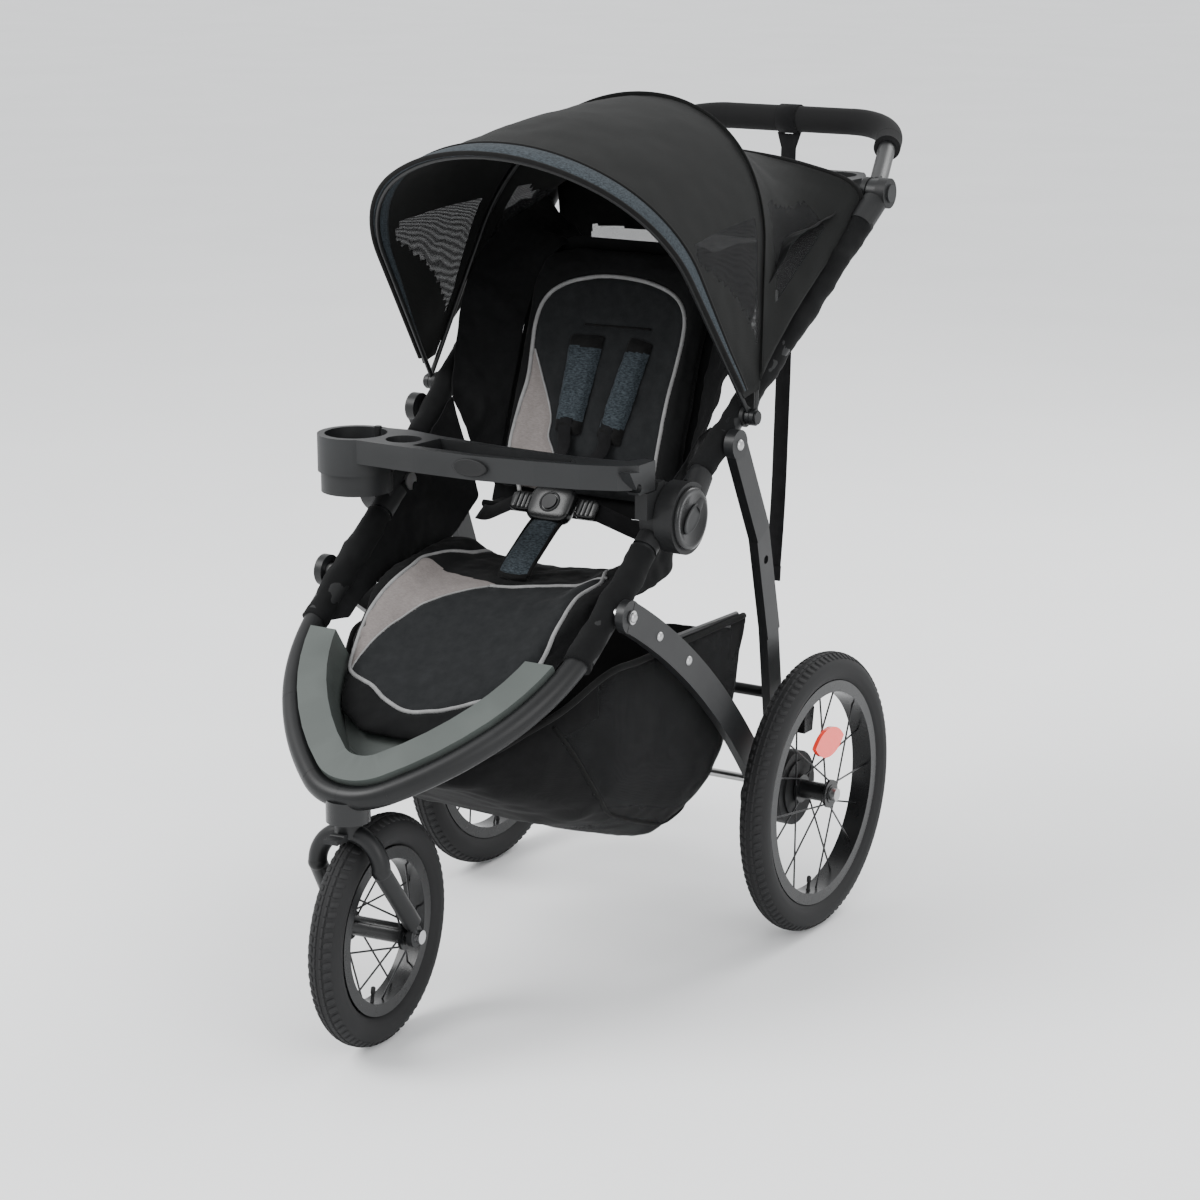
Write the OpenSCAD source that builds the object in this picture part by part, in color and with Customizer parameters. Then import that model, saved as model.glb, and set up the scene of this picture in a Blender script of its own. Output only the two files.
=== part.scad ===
// Three-wheeled jogging stroller. Millimetres, +Z up, front towards -Y,
// origin on the ground at the middle of the overall box.
// Points are laid out from the ground below the rear axle; placed() moves them.

/* [Wheels] */
// Outer radius of a rear tyre
rear_wheel_r = 199; // [190:0.5:205]
// Outer radius of the front tyre
front_wheel_r = 151; // [145:0.5:155]
// Radius of a tyre's cross-section
tyre_section = 22.5; // [20:0.5:24]
// Distance from the middle of the stroller to a rear wheel's mid-plane
half_track = 274; // [270:1:280]
// Number of spokes in a wheel
spoke_count = 16; // [12:4:20]
// Angle by which the front wheel is steered, degrees
steer = 5.5; // [0:0.5:10]

/* [Frame] */
// Radius of the front loop's tube
tube_r = 15; // [14:0.5:15]
// Slope of the front loop's plane, degrees
loop_slope = 34; // [33:0.5:35]
// Radius of the upper side tubes
upper_tube_r = 14; // [13:0.5:14]
// Radius of a fold hub's cover
hub_cover_r = 47.5; // [45:0.5:49]
// Thickness of the rear legs' flat tube
leg_t = 14; // [13:0.5:16]
// Width of the rear legs' flat tube
leg_w = 36; // [32:1:38]
// Width of a side stay's blade
stay_w = 41; // [36:1:42]

/* [Handle] */
// Radius of the handlebar's tube
bar_r = 12.5; // [12:0.5:13]
// Outer radius of the foam grip
grip_r = 19.5; // [18:0.5:20]
// Width of the safety strap's webbing
strap_w = 25; // [20:1:26]

/* [Canopy] */
// Radius of a canopy bow's rod
bow_r = 3.5; // [3:0.25:3.5]
// Angle of the visor bow above the rearward horizontal, degrees
visor_angle = 125; // [120:1:128]
// Angle of the middle bow above the rearward horizontal, degrees
mid_angle = 68.8; // [66:0.2:70]

/* [Seat] */
// Half the width of the seat cushion
cushion_half = 180; // [170:1:183]
// Half the width of the back pad
back_half = 150; // [140:1:155]
// Slope of the seat back, degrees
back_slope = 70; // [68:1:72]

/* [Trays] */
// Height of the child tray's top
tray_top = 730; // [725:1:735]
// Radius of a cup holder's bore
cup_r = 42; // [38:1:43]

/* [Hidden] */
$fn = 64;

// Colours
frame_black = "#25272a";
plastic_black = "#2e3032";
fabric_black = "#1b1c1e";
canopy_grey = "#343634";

// Rear axle: distance behind the middle of the overall box, and height
mid_to_axle = 191.5;
axle_z = 199;
// Side-view points [y, z] of the fold linkage, from below the axle
hub_at = [-314, 650];
stay_top = [-450, 548.3];
stay_foot = [-74, 205];
leg_top = [-208, 729.3];
canopy_at = [-168, 759.2];
handle_at = [178, 1020];
recline_at = [-190, 600];
// Slope of the side tubes in side view
side_slope = atan2(handle_at[1] - hub_at[1], handle_at[0] - hub_at[0]);

// Front loop: plane's middle line, reach to the tip, and arcs as [radius, turn]
loop_y = -502;
loop_z = 510;
loop_reach = 285;
loop_steps = [[0, 2], [88, 38], [0, 1], [428, 20], [0, 1], [320, 32]];
loop_half = 204.7;

// Hub stack along X: inner half, gap, cover
hub_in_x = 196;
hub_face_x = 219;
hub_gap = 0.4;
hub_out_x = 248;
pin_r = 8;
// Radial running clearance of a pin in a bore
running = 0.05;
// Clearance between parts that pass each other
gap = 0.4;

// Upper side tube: start beside the hub and end at the handle pivot
tube_low = [224, -272.4, 681.1];
tube_high = [262, 165, 1008];

// Rear leg centre line and its flat ends
leg_points = [[253.8, leg_top[0], leg_top[1]], [249.6, -134, 600], [240.8, -84, 450], [214, -8, 224]];

// Side stay: blade's inner and outer faces and the rise of its curve
stay_in_x = 229;
stay_out_x = 241;
stay_rise = 31;

// Handlebar: arcs of half the bar, starting at its middle
bar_at = [0, 410, 1092];
bar_steps = [[0, 103], [95, 70], [0, 164]];
grip_steps = [[0, 103], [95, 70], [0, 26]];
bar_slope = 17.2;
lug_in_x = 250.5;
lug_out_x = 265.5;

// Canopy bows: arcs of half a bow, starting at the top
visor_reach = 425;
visor_steps = [[0, 2], [274.5, 32], [0, 1], [188, 54], [0, 227.5]];
mid_reach = 420;
mid_steps = [[0, 2], [216.5, 60], [0, 1], [260, 20], [0, 220]];
visor_ring_x = 252.2;
mid_ring_x = 259.2;
ring_t = 6;

// Front wheel: swivel axis and trail
swivel_y = -729;
trail = 67;
fork_half = 57.5;

// Safety strap's route down from the bar, hand-set
strap_route = [[0, 405, 1070], [0, 404, 1030], [0, 404, 990], [0, 404, 950], [0, 403, 910],
    [0, 402, 870], [0, 401, 830], [0, 400, 790], [0, 400, 750], [0, 399, 710], [0, 397, 670],
    [0, 395, 630], [0, 393, 590], [0, 391, 550], [0, 388, 510], [0, 384, 470], [0, 379, 430],
    [0, 374, 390]];

// ---- helpers ----

// Moves a shape from the axle's frame to the part's frame
module placed() translate([0, mid_to_axle, 0]) children();

// A shape and its mirror image
module both() {
    children();
    mirror([1, 0, 0]) children();
}

// Draws in the side view: local x is Y, local y is Z, height runs along +X from x0
module side(x0) translate([x0, 0, 0]) rotate([90, 0, 90]) children();

// Disc or pin along X from x0 to x1 at a side-view point
module disc(at, r, x0, x1) side(x0) translate(at) cylinder(r = r, h = x1 - x0);

// Stands local +Z along the line from a to b
module along(a, b) {
    d = b - a;
    translate(a) rotate([atan2(-d[1], d[2]), 0, 0]) rotate([0, asin(d[0] / norm(d)), 0]) children();
}

module rod(a, b, r) along(a, b) cylinder(r = r, h = norm(b - a));

// Flat bar, t thick along X and w wide in the side view
module flat_bar(a, b, w, t) along(a, b) translate([-t / 2, -w / 2, 0]) cube([t, w, norm(b - a)]);

// Round tube along steps [radius, turn] or [0, length], starting at 0 heading +X, turning left
module tube_run(r, steps, i = 0) {
    if (i < len(steps)) {
        bend = steps[i][0];
        amount = steps[i][1];
        if (bend == 0) {
            // A straight is a hair slimmer, so that it ends inside the bends beside it
            into = i > 0 ? 1.5 : 0;
            translate([-into, 0, 0]) rotate([0, 90, 0])
                cylinder(r = r - 0.15, h = amount + into + 1.5);
            translate([amount, 0, 0]) tube_run(r, steps, i + 1);
        } else {
            translate([0, bend, 0]) rotate(-90) rotate_extrude(angle = amount)
                translate([bend, 0]) circle(r);
            translate([0, bend, 0]) rotate(amount) translate([0, -bend, 0])
                tube_run(r, steps, i + 1);
        }
    }
}

// Points along the same steps, from p heading h
function run_points(steps, p = [0, 0], h = 0, i = 0) =
    i >= len(steps) ? [p] :
    let (bend = steps[i][0], amount = steps[i][1], n = bend == 0 ? 1 : ceil(amount / 6))
    concat([for (k = [0 : n - 1]) run_at(p, h, bend, amount * k / n)],
        run_points(steps, run_at(p, h, bend, amount), h + (bend == 0 ? 0 : amount), i + 1));
function run_at(p, h, bend, amount) = bend == 0
    ? p + amount * [cos(h), sin(h)]
    : p + bend * [sin(h + amount) - sin(h), cos(h) - cos(h + amount)];

// The same steps d further in
function inset(steps, d) = [for (s = steps) s[0] == 0 ? s : [s[0] - d, s[1]]];
function flipped(points) = [for (k = [len(points) - 1 : -1 : 0]) [-points[k][0], points[k][1]]];

module in_loop_plane() placed() translate([0, loop_y, loop_z]) rotate([loop_slope, 0, 0]) children();

// Outline of the front loop's middle line, d further in
function loop_outline(d) = let (p = run_points(inset(loop_steps, d), [0, d - loop_reach]))
    concat(flipped(p), p);

// ---- front frame ----

module front_loop_tube() color(frame_black) in_loop_plane() both()
    translate([0, -loop_reach, 0]) tube_run(tube_r, loop_steps);

module lower_tube() rod([205.6, -488.2, 519.4], [207, -349, 623.8], tube_r - 0.5);

module lower_side_tubes() color(frame_black) placed() both() difference() {
    lower_tube();
    disc(hub_at, hub_cover_r + 1.5, hub_face_x + 0.1, 260);
}

module tube_sleeves() color(frame_black) placed() both() difference() {
    rod([205, -512, 502.5], [206, -458, 542], tube_r + 2.5);
    rod([205, -520, 497.9], [205.6, -488.8, 518.9], tube_r);
    rod([205.6, -492, 516.6], [206.1, -440, 555.5], tube_r - 0.5);
}

module fold_hub_inner() color(plastic_black) placed() both() difference() {
    union() {
        disc(hub_at, 43, hub_in_x, hub_face_x);
        rod([207, -328, 639.5], [207, -362, 614.1], tube_r + 2);
    }
    // Clears the hub's turning half
    disc(hub_at, hub_cover_r + 1.5, hub_face_x + 0.1, 260);
    disc(hub_at, pin_r + running, hub_in_x - 9, hub_out_x);
    rod([207, -340, 630.6], [207, -380, 600.6], tube_r - 0.5);
}

module stay_pivots() color("silver") placed() both() {
    disc(stay_top, 11, 216, stay_in_x - gap);
    disc(stay_top, 6, 216, stay_out_x + 0.5);
    disc(stay_top, 9, stay_out_x + gap, stay_out_x + 3);
}

module head_housing() color(plastic_black) placed() difference() {
    translate([0, swivel_y, 318]) cylinder(r = 28, h = 29);
    translate([0, swivel_y, 300]) cylinder(r = pin_r + running, h = 38);
    translate([0, loop_y, loop_z])
        rotate([loop_slope, 0, 0]) both() translate([0, -loop_reach, 0])
        tube_run(tube_r, [loop_steps[0], loop_steps[1]]);
}

module footrest() color("#555c59") {
    rim_out = 12;
    rim_in = 52;
    floor_n = -50;
    in_loop_plane() difference() {
        translate([0, 0, floor_n]) linear_extrude(20 - floor_n) polygon(loop_outline(rim_out));
        translate([0, 0, floor_n + 3]) linear_extrude(80) polygon(loop_outline(rim_in));
        // The rim clears the tube that it sits inside
        both() translate([0, -loop_reach, 0]) tube_run(tube_r + 0.2, loop_steps);
        // Only the rim's top is wider than the well
        translate([0, 0, floor_n - 1]) linear_extrude(-floor_n - tube_r + 6) difference() {
            polygon(loop_outline(-30));
            polygon(loop_outline(rim_in - 4));
        }
        // Open behind, where the cushion comes down into the well
        translate([-250, -45, floor_n - 1]) cube([500, 120, 100]);
    }
}

module seat_cushion() color(fabric_black) placed() {
    top = [[-240, 556], [-350, 549], [-430, 533], [-500, 492], [-594, 425], [-632, 394]];
    under = 24;
    intersection() {
        side(-cushion_half) linear_extrude(2 * cushion_half) polygon(concat(top,
            [for (k = [len(top) - 1 : -1 : 0]) top[k] - [0, under]]));
        translate([0, 0, 300]) linear_extrude(400) polygon([[-cushion_half, -200],
            [-cushion_half, -470], [-162, -520], [-140, -570], [-105, -610], [-50, -634],
            [50, -634], [105, -610], [140, -570], [162, -520], [cushion_half, -470],
            [cushion_half, -200]]);
        // Inside the footrest's well in front
        well_clearance();
    }
}

// Space that the cushion may fill: all of it behind the footrest, and the well's inside in front
module well_clearance() translate([0, -mid_to_axle, 0]) in_loop_plane()
    translate([0, 0, -200]) linear_extrude(500) union() {
        translate([-300, -44]) square([600, 600]);
        polygon(loop_outline(53.5));
    }

module crotch_strap() color(fabric_black) placed()
    flat_bar([0, -351, 553], [0, -262, 610], 5, 44);

module buckle_frame() placed() translate([0, -256, 628]) rotate([back_slope - 90 - 20, 0, 0])
    rotate([90, 0, 0]) children();

module harness_buckle() color(plastic_black) buckle_frame() difference() {
    translate([-34, -27, -9]) cube([68, 54, 18]);
    cylinder(r = 11 + gap, h = 20);
}

module buckle_button() color("#3a3c3e") buckle_frame() translate([0, 0, 4.5]) cylinder(r = 11, h = 7);

// Basket's side-view outline, d inside the outer skin
module basket_side(d) offset(delta = -d) polygon([[-100, 470], [-430, 470], [-500, 428], [-560, 388],
    [-600, 352], [-560, 320], [-393, 238], [-244, 166], [-150, 196], [-112, 300]]);

module basket() color(fabric_black) placed() {
    skin = 3;
    half = 212;
    difference() {
        intersection() {
            side(-half) linear_extrude(2 * half) basket_side(0);
            translate([0, 0, 100]) linear_extrude(400) basket_plan(0);
        }
        intersection() {
            side(-half) linear_extrude(2 * half) union() {
                basket_side(skin);
                polygon([[-104, 440], [-104, 480], [-426, 480], [-426, 440]]);
            }
            translate([0, 0, 100]) linear_extrude(400) basket_plan(skin);
        }
    }
}

// Basket's outline from above, d inside the outer skin
module basket_plan(d) polygon([[-212 + d, -80 - 8 * d], [-206 + d, -430], [-160 + d, -520],
    [-100 + d, -580], [-60, -605 + d], [60, -605 + d], [100 - d, -580], [160 - d, -520],
    [206 - d, -430], [212 - d, -80 - 8 * d]]);

module basket_rods() color(frame_black) placed() both() {
    rod([205, -303, 478], [205, -112, 472], 4);
}

module side_skirts() color(fabric_black) placed() both() side(183) linear_extrude(3)
    polygon([[-500, 505], [-330, 640], [-270, 640], [-230, 560], [-330, 552], [-430, 536]]);

module tray_mounts() color(plastic_black) placed() both() {
    // Block on the hub's rim, with an upright hole
    difference() {
        side(200) linear_extrude(18) polygon([[-374, 655], [-330, 655], [-330, 700], [-345, 700],
            [-350, 690], [-374, 690]]);
        disc(hub_at, 43, 190, 230);
        translate([209, -363, 660]) cylinder(r = 5 + running, h = 60);
    }
}

// ---- upper frame ----

module upper_tube() rod(tube_low, tube_high - [0.8, 9.2, 6.9], upper_tube_r);

module upper_side_tubes() color(frame_black) placed() both() upper_tube();

module fold_hub_covers() color(plastic_black) placed() both() difference() {
    union() {
        disc(hub_at, hub_cover_r, hub_face_x + hub_gap, hub_out_x - 2);
        disc(hub_at, hub_cover_r - 6, hub_out_x - 3, hub_out_x);
        rod([238, -303, 658.2], [229, -256, 693.4], 16);
    }
    disc(hub_at, pin_r, 190, 232);
    upper_tube();
    // The arm stays clear of the hub's inner half
    disc(hub_at, 44, 190, hub_face_x + hub_gap);
}

module fold_hub_pins() color("silver") placed() both() {
    disc(hub_at, pin_r, hub_in_x - 2, 231.5);
    disc(hub_at, pin_r + 4, hub_in_x - 6, hub_in_x - 1);
}

module handle_pivot_housings() color(plastic_black) {
    handle_cheeks();
    // Pin that the handlebar's lug turns on
    handle_pins();
}

module handle_cheeks() placed() both() difference() {
    union() {
        disc(handle_at, 21, 243, lug_in_x - gap);
        disc(handle_at, 21, lug_out_x + gap, 280);
        rod([262, 165, 1008] - 46 * [0.0695, 0.7984, 0.5981], tube_high, 18);
    }
    // The handlebar's lug turns between the cheeks
    disc(handle_at, 21.5, lug_in_x - gap, lug_out_x + gap);
    disc(handle_at, 12 + gap, 262, 290);
    upper_tube();
}

module handle_pins() placed() both() disc(handle_at, 5, 247, lug_out_x + gap);

module canopy_mounts() color(plastic_black) placed() both() difference() {
    union() {
        disc(canopy_at, 14, 243, visor_ring_x - ring_t / 2 - 1);
        disc(canopy_at, 5, 243, mid_ring_x + ring_t / 2 + 1);
        disc(canopy_at, 9, mid_ring_x + ring_t / 2 + gap, mid_ring_x + ring_t / 2 + 3);
    }
    upper_tube();
}

module parent_tray() color(plastic_black) placed() {
    base = 1003;
    top = 1036;
    cup_y = 215;
    cup_x = 163;
    difference() {
        union() {
            translate([0, 0, base]) linear_extrude(top - base) polygon([[-225, 168], [-218, 160],
                [218, 160], [225, 168], [225, 200], [212, 240], [196, 266], [180, 274],
                [-180, 274], [-196, 266], [-212, 240], [-225, 200]]);
            both() translate([cup_x, cup_y, 958]) cylinder(r = cup_r + 3, h = 60);
            both() translate([220, 168, base + 4]) cube([22.6, 20, 14]);
        }
        both() translate([cup_x, cup_y, 962]) cylinder(r = cup_r, h = 90);
        translate([-98, 172, base + 5]) cube([196, 92, 60]);
    }
}

// A bow's line as [radius, x], d outside the rod's middle line
function bow_line(steps, reach, d) =
    [for (p = run_points(inset(steps, -d))) [reach + d - p[1], p[0]]];

module canopy_rear_panel() color(canopy_grey) difference() {
    hull() {
        bow_plate(mid_angle - 2.5, mid_reach, mid_steps, 6);
        rear_arch(2, 148);
    }
    hull() {
        bow_plate(mid_angle, mid_reach, mid_steps, 4);
        bow_plate(mid_angle - 2.5, mid_reach, mid_steps, 4);
        rear_arch(0, 148);
        rear_arch(-6, 156);
    }
    // Stays above the side tubes
    placed() translate([-300, canopy_at[0], canopy_at[1] + 22]) rotate([side_slope, 0, 0])
        translate([0, -300, -500]) cube([600, 1200, 500]);
    placed() disc(canopy_at, 62, -300, 300);
}

// Plate in the cloth's rear opening, just in front of the parent tray
module rear_arch(d, y) placed() translate([0, y, 0]) rotate([90, 0, 0]) translate([0, 0, -0.5])
    linear_extrude(1) polygon([[-246 - d, 975], [-246 - d, 1000], [-195 - d, 1022 + d],
        [-110, 1050 + d], [0, 1062 + d], [110, 1050 + d], [195 + d, 1022 + d],
        [246 + d, 1000], [246 + d, 975]]);

module back_side_panels() color(fabric_black) placed() both() side(184) linear_extrude(3)
    polygon([[-200, 604], [-268, 684], [-190, 742], [-120, 850], [-95, 960],
    [-30, 960], [-100, 770]]);

// ---- handlebar ----

// Frame of half the bar: starts at the bar's middle, heading +X, turning towards the pivots
module in_bar_plane() placed() translate(bar_at) rotate([180 + bar_slope, 0, 0]) children();

module handlebar_tube() color(frame_black) {
    in_bar_plane() both() tube_run(bar_r, bar_steps);
    placed() both() difference() {
        union() {
            disc(handle_at, 19, lug_in_x, lug_out_x);
            along([258, handle_at[0], handle_at[1]], [249, 202, 1027.4]) translate([-7.4, -12, 0])
                cube([14.8, 24, 30]);
        }
        disc(handle_at, 5 + running, 240, 270);
        // Clears the inner cheek
        disc(handle_at, 22, 230, lug_in_x);
    }
}

module handle_grip() color("#1d1d1f") in_bar_plane() difference() {
    both() tube_run(grip_r, grip_steps);
    both() tube_run(bar_r, bar_steps);
}

// One ring of the strap's section at p
function strap_ring(p) = [for (c = [[-1, -0.6], [-0.9, -1], [0.9, -1], [1, -0.6],
    [1, 0.6], [0.9, 1], [-0.9, 1], [-1, 0.6]]) p + [c[0] * strap_w / 2, c[1] * 1.4, 0]];

module wrist_strap() color(fabric_black) placed() {
    n = len(strap_route);
    polyhedron(points = [for (p = strap_route) each strap_ring(p)],
        faces = concat([[for (k = [0 : 7]) k]],
            [for (i = [0 : n - 2]) for (k = [0 : 7])
                [8 * i + k, 8 * (i + 1) + k, 8 * (i + 1) + (k + 1) % 8, 8 * i + (k + 1) % 8]],
            [[for (k = [7 : -1 : 0]) 8 * (n - 1) + k]]));
}

module handle_button() placed() {
    disc(handle_at, 12, lug_out_x + 6, 283);
}

module handle_button_left() color("#3a3c3e") mirror([1, 0, 0]) handle_button();
module handle_button_right() color("#3a3c3e") handle_button();

// ---- canopy bows ----

// One bow: half runs from the top to a ring on the canopy's pin
module bow(angle, reach, steps, ring_x) placed() translate([0, canopy_at[0], canopy_at[1]])
    rotate([90, 0, 90]) rotate(angle) rotate([90, -90, 0]) {
        both() translate([0, -reach, 0]) tube_run(bow_r, steps);
        both() translate([ring_x, 0, 0]) rotate([0, 90, 0]) difference() {
            translate([0, 0, -ring_t / 2]) cylinder(r = 11, h = ring_t);
            translate([0, 0, -ring_t]) cylinder(r = 5 + running, h = 2 * ring_t);
        }
    }

module canopy_mid_bow() color(frame_black) bow(mid_angle, mid_reach, mid_steps, mid_ring_x);
module canopy_visor_bow() color(frame_black) bow(visor_angle, visor_reach, visor_steps, visor_ring_x);

// Flat plate in a bow's plane that fills its outline, d outside the rod's middle line
module bow_plate(angle, reach, steps, d) placed() translate([0, canopy_at[0], canopy_at[1]])
    rotate([90, 0, 90]) rotate(angle) rotate([90, -90, 0]) {
        line = [for (p = bow_line(steps, reach, d)) [p[1], -p[0]]];
        translate([0, 0, -0.5]) linear_extrude(1) polygon(concat(flipped(line), line));
    }

// Cloth stretched over both bows, from the middle bow to the visor bow
module canopy_cover() color(canopy_grey) difference() {
    hull() {
        bow_plate(mid_angle, mid_reach, mid_steps, 6);
        bow_plate(visor_angle, visor_reach, visor_steps, 6);
    }
    hull() {
        bow_plate(mid_angle - 4, mid_reach, mid_steps, 4);
        bow_plate(mid_angle, mid_reach, mid_steps, 4);
        bow_plate(visor_angle, visor_reach, visor_steps, 4);
        bow_plate(visor_angle + 4, visor_reach, visor_steps, 4);
    }
    placed() disc(canopy_at, 62, -300, 300);
}

// ---- seat back ----

// Frame of the seat back: local y runs up the back, local z forwards out of it
module in_back() placed() translate([0, -118, 800]) rotate([back_slope, 0, 0]) children();

module back_outline(half, low, high) {
    corner = 70;
    translate([-half, low]) square([2 * half, high - corner - low]);
    translate([-half + corner, low]) square([2 * (half - corner), high - low]);
    for (x = [corner - half, half - corner]) translate([x, high - corner]) circle(corner);
}

module seat_back_panel() color(fabric_black) {
    in_back() translate([0, 0, -27]) linear_extrude(4) back_outline(back_half + 8, -205, 178);
    // Hinge rod that the back leans on, and its two lugs
    placed() disc(recline_at, 5, -156, 156);
    placed() both() side(128) linear_extrude(14) polygon([[-190, 596], [-159.5, 594],
        [-159.5, 605], [-190, 604.5]]);
}

module seat_back_pad() color(fabric_black) in_back() translate([0, 0, -22.7])
    linear_extrude(22) back_outline(back_half, -195, 172);

module shoulder_pads() color("#3b444b") in_back() {
    translate([0, 0, 1]) {
        translate([-27, -25]) rotate(1) translate([-24, -70, 0]) cube([48, 140, 13]);
        translate([41, -32]) rotate(-6) translate([-24, -70, 0]) cube([48, 140, 13]);
    }
}

module recline_puller() color("#7a7c7e") in_back() translate([96, 28, -40]) {
    translate([-13, -10, 0]) cube([26, 26, 12.8]);
    translate([-3, -72, 4]) cube([6, 64, 4]);
}

// ---- child tray ----

module child_tray() color(plastic_black) placed() {
    band = 32;
    base = tray_top - band;
    cup_at = [-215, -405];
    difference() {
        union() {
            translate([0, 0, base]) linear_extrude(band) polygon(tray_outline());
            translate([cup_at[0], cup_at[1], 652]) cylinder(r = cup_r + 6, h = 30);
            translate([cup_at[0], cup_at[1], 680]) cylinder(r = cup_r + 10, h = tray_top - 680);
            // Arms down to the mounts
            both() side(201) linear_extrude(16) polygon([[-415, 724], [-352, 715], [-352, 691],
                [-392, 691]]);
        }
        translate([cup_at[0], cup_at[1], 656]) cylinder(r = cup_r, h = 90);
        translate([0, 0, base + 4]) linear_extrude(60) tray_well();
        translate([-135, -408, base + 6]) cylinder(r = 24, h = 40);
        // Slot through the right arm
        translate([190, -392, 700]) rotate([0, 90, 0]) cylinder(r = 6, h = 40);
        translate([-209, -363, 680]) cylinder(r = 5.4, h = 60);
        // Clears the mounts and the hubs
        both() side(199) linear_extrude(20) polygon([[-375, 640], [-329, 640], [-329, 691],
            [-375, 691]]);
        both() disc(hub_at, hub_cover_r + 1, 190, 260);
    }
    translate([209, -363, 662]) cylinder(r = 5, h = 40);
}

// Tray from above: front edge, right corner, back edge
function tray_outline() = [[-232, -360], [-232, -425], [-200, -446], [-90, -452], [0, -452],
    [90, -440], [150, -428], [196, -410], [217, -392], [217, -352], [201, -352], [190, -376],
    [120, -384], [0, -378], [-100, -366], [-165, -352]];

module tray_well() polygon([[-102, -436], [0, -440], [90, -428], [140, -418], [118, -396],
    [0, -390], [-96, -380]]);

module tray_release_button() color("#3a3c3e") placed()
    translate([-209, -363, 694.6]) cylinder(r = 5, h = 38);

// ---- rear legs ----

// Centre, radius and end angles of the stay's curve, from its two ends and its rise
stay_chord = norm(stay_foot - stay_top);
stay_r = stay_chord * stay_chord / (8 * stay_rise) + stay_rise / 2;
stay_up = [stay_top[1] - stay_foot[1], stay_foot[0] - stay_top[0]] / stay_chord;
stay_mid = (stay_top + stay_foot) / 2 - (stay_r - stay_rise) * stay_up;
stay_a = atan2(stay_foot[1] - stay_mid[1], stay_foot[0] - stay_mid[0]);
stay_b = atan2(stay_top[1] - stay_mid[1], stay_top[0] - stay_mid[0]);

module side_stays() color(frame_black) placed() both() difference() {
    union() {
        side(stay_in_x) translate(stay_mid) rotate(stay_a) rotate_extrude(angle = stay_b - stay_a)
            translate([stay_r - stay_w / 2, 0]) square([stay_w, stay_out_x - stay_in_x]);
        disc(stay_top, stay_w / 2 + 1, stay_in_x + 0.3, stay_out_x - 0.3);
        disc(stay_foot, stay_w / 2 + 1, stay_in_x + 0.3, stay_out_x - 0.3);
    }
    disc(stay_top, 6 + running, 210, 250);
    disc(stay_foot, 6 + running, 210, 250);
    // Cut back round the brake drum
    disc([0, axle_z], 56, 210, 260);
}

module leg_shape() {
    // Three straight lengths, each a little slimmer than the one above it
    flat_bar(leg_points[0], leg_points[1] - [0, -2, 6], leg_w, leg_t);
    flat_bar(leg_points[1] + [0, -2, 6], leg_points[2] - [0, -2, 6], leg_w - 0.8, leg_t - 0.6);
    flat_bar(leg_points[2] + [0, -2, 6], leg_points[3], leg_w - 1.6, leg_t - 1.2);
    disc(leg_top, leg_w / 2 + 2, leg_points[0][0] - 7, leg_points[0][0] + 7);
}

module rear_leg_tubes() color(frame_black) placed() both() difference() {
    leg_shape();
    // Slot for the folding latch
    translate([230, -119, 556]) rotate([0, 90, 0]) cylinder(r = 6, h = 40);
}

module axle_brackets() color(plastic_black) placed() both() difference() {
    union() {
        disc([0, axle_z], 30, 203, 222);
        side(203) linear_extrude(19) polygon([[-8, 228], [-74, 220], [-90, 205], [-74, 189], [-10, 170]]);
        side(203) linear_extrude(19) polygon([[-34, 205], [-42, 262], [-2, 272], [26, 205]]);
        disc(stay_foot, 17, 203, 222);
        disc(stay_foot, 6, 220, stay_out_x + 0.5);
        disc(stay_foot, 9, stay_out_x + gap, stay_out_x + 2.5);
    }
    disc([0, axle_z], 6, 190, 230);
    leg_shape();
}

module rear_axle() color("silver") placed() {
    disc([0, axle_z], 6, -306, 306);
    both() disc([0, axle_z], 9, 300.5, 308);
}

module brake_drums() color("#222325") placed() both() difference() {
    union() {
        disc([0, axle_z], 46, 224, 228);
        disc([0, axle_z], 53, 226, 244);
        disc([0, axle_z], 40, 242, 247);
    }
    disc([0, axle_z], 6, 200, 260);
    // Clears the head of the stay's foot pin
    disc(stay_foot, 22, 210, 260);
}

module leg_cross_tube() color(frame_black) placed() difference() {
    rod([-229, -42, 345], [229, -42, 345], 8);
    both() leg_shape();
}

module brake_pedal() color(plastic_black) placed() {
    // Lever that turns on the axle, and its foot plate above the right drum
    difference() {
        union() {
            disc([0, axle_z], 14, 187, 201);
            side(187) linear_extrude(14) polygon([[-11, 205], [34, 290], [58, 275], [11, 194]]);
            side(187) linear_extrude(50) polygon([[34, 268], [34, 300], [42, 312], [56, 312],
                [63, 300], [58, 268]]);
        }
        disc([0, axle_z], 6 + running, 180, 210);
    }
}

// ---- fork ----

module steered() placed() translate([0, swivel_y, 0]) rotate([0, 0, steer]) children();

module fork() color(frame_black) {
    leg_r = 12;
    crown_half = 46;
    crown_z = 257;
    difference() {
        steered() {
            translate([0, 0, crown_z]) rotate([90, 0, 0]) rotate_extrude(angle = 180)
                translate([crown_half, 0]) circle(leg_r);
            both() translate([crown_half, 0, crown_z]) sphere(leg_r + 0.4);
            both() rod([crown_half, 0, crown_z], [fork_half - 3, trail - 8, 172], leg_r - 0.1);
            both() disc([trail, front_wheel_r], 14, fork_half - 9, fork_half - 1);
            both() rod([fork_half - 4.5, trail - 10, 178], [fork_half - 5, trail, 150], 7);
            translate([0, 0, 298]) cylinder(r = 18, h = 19);
            cylinder_stem();
        }
        steered() disc([trail, front_wheel_r], 5, -80, 80);
        steered() translate([0, trail, front_wheel_r]) rotate([0, 90, 0])
            translate([0, 0, -40]) cylinder(r = 30, h = 80);
    }
}

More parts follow.
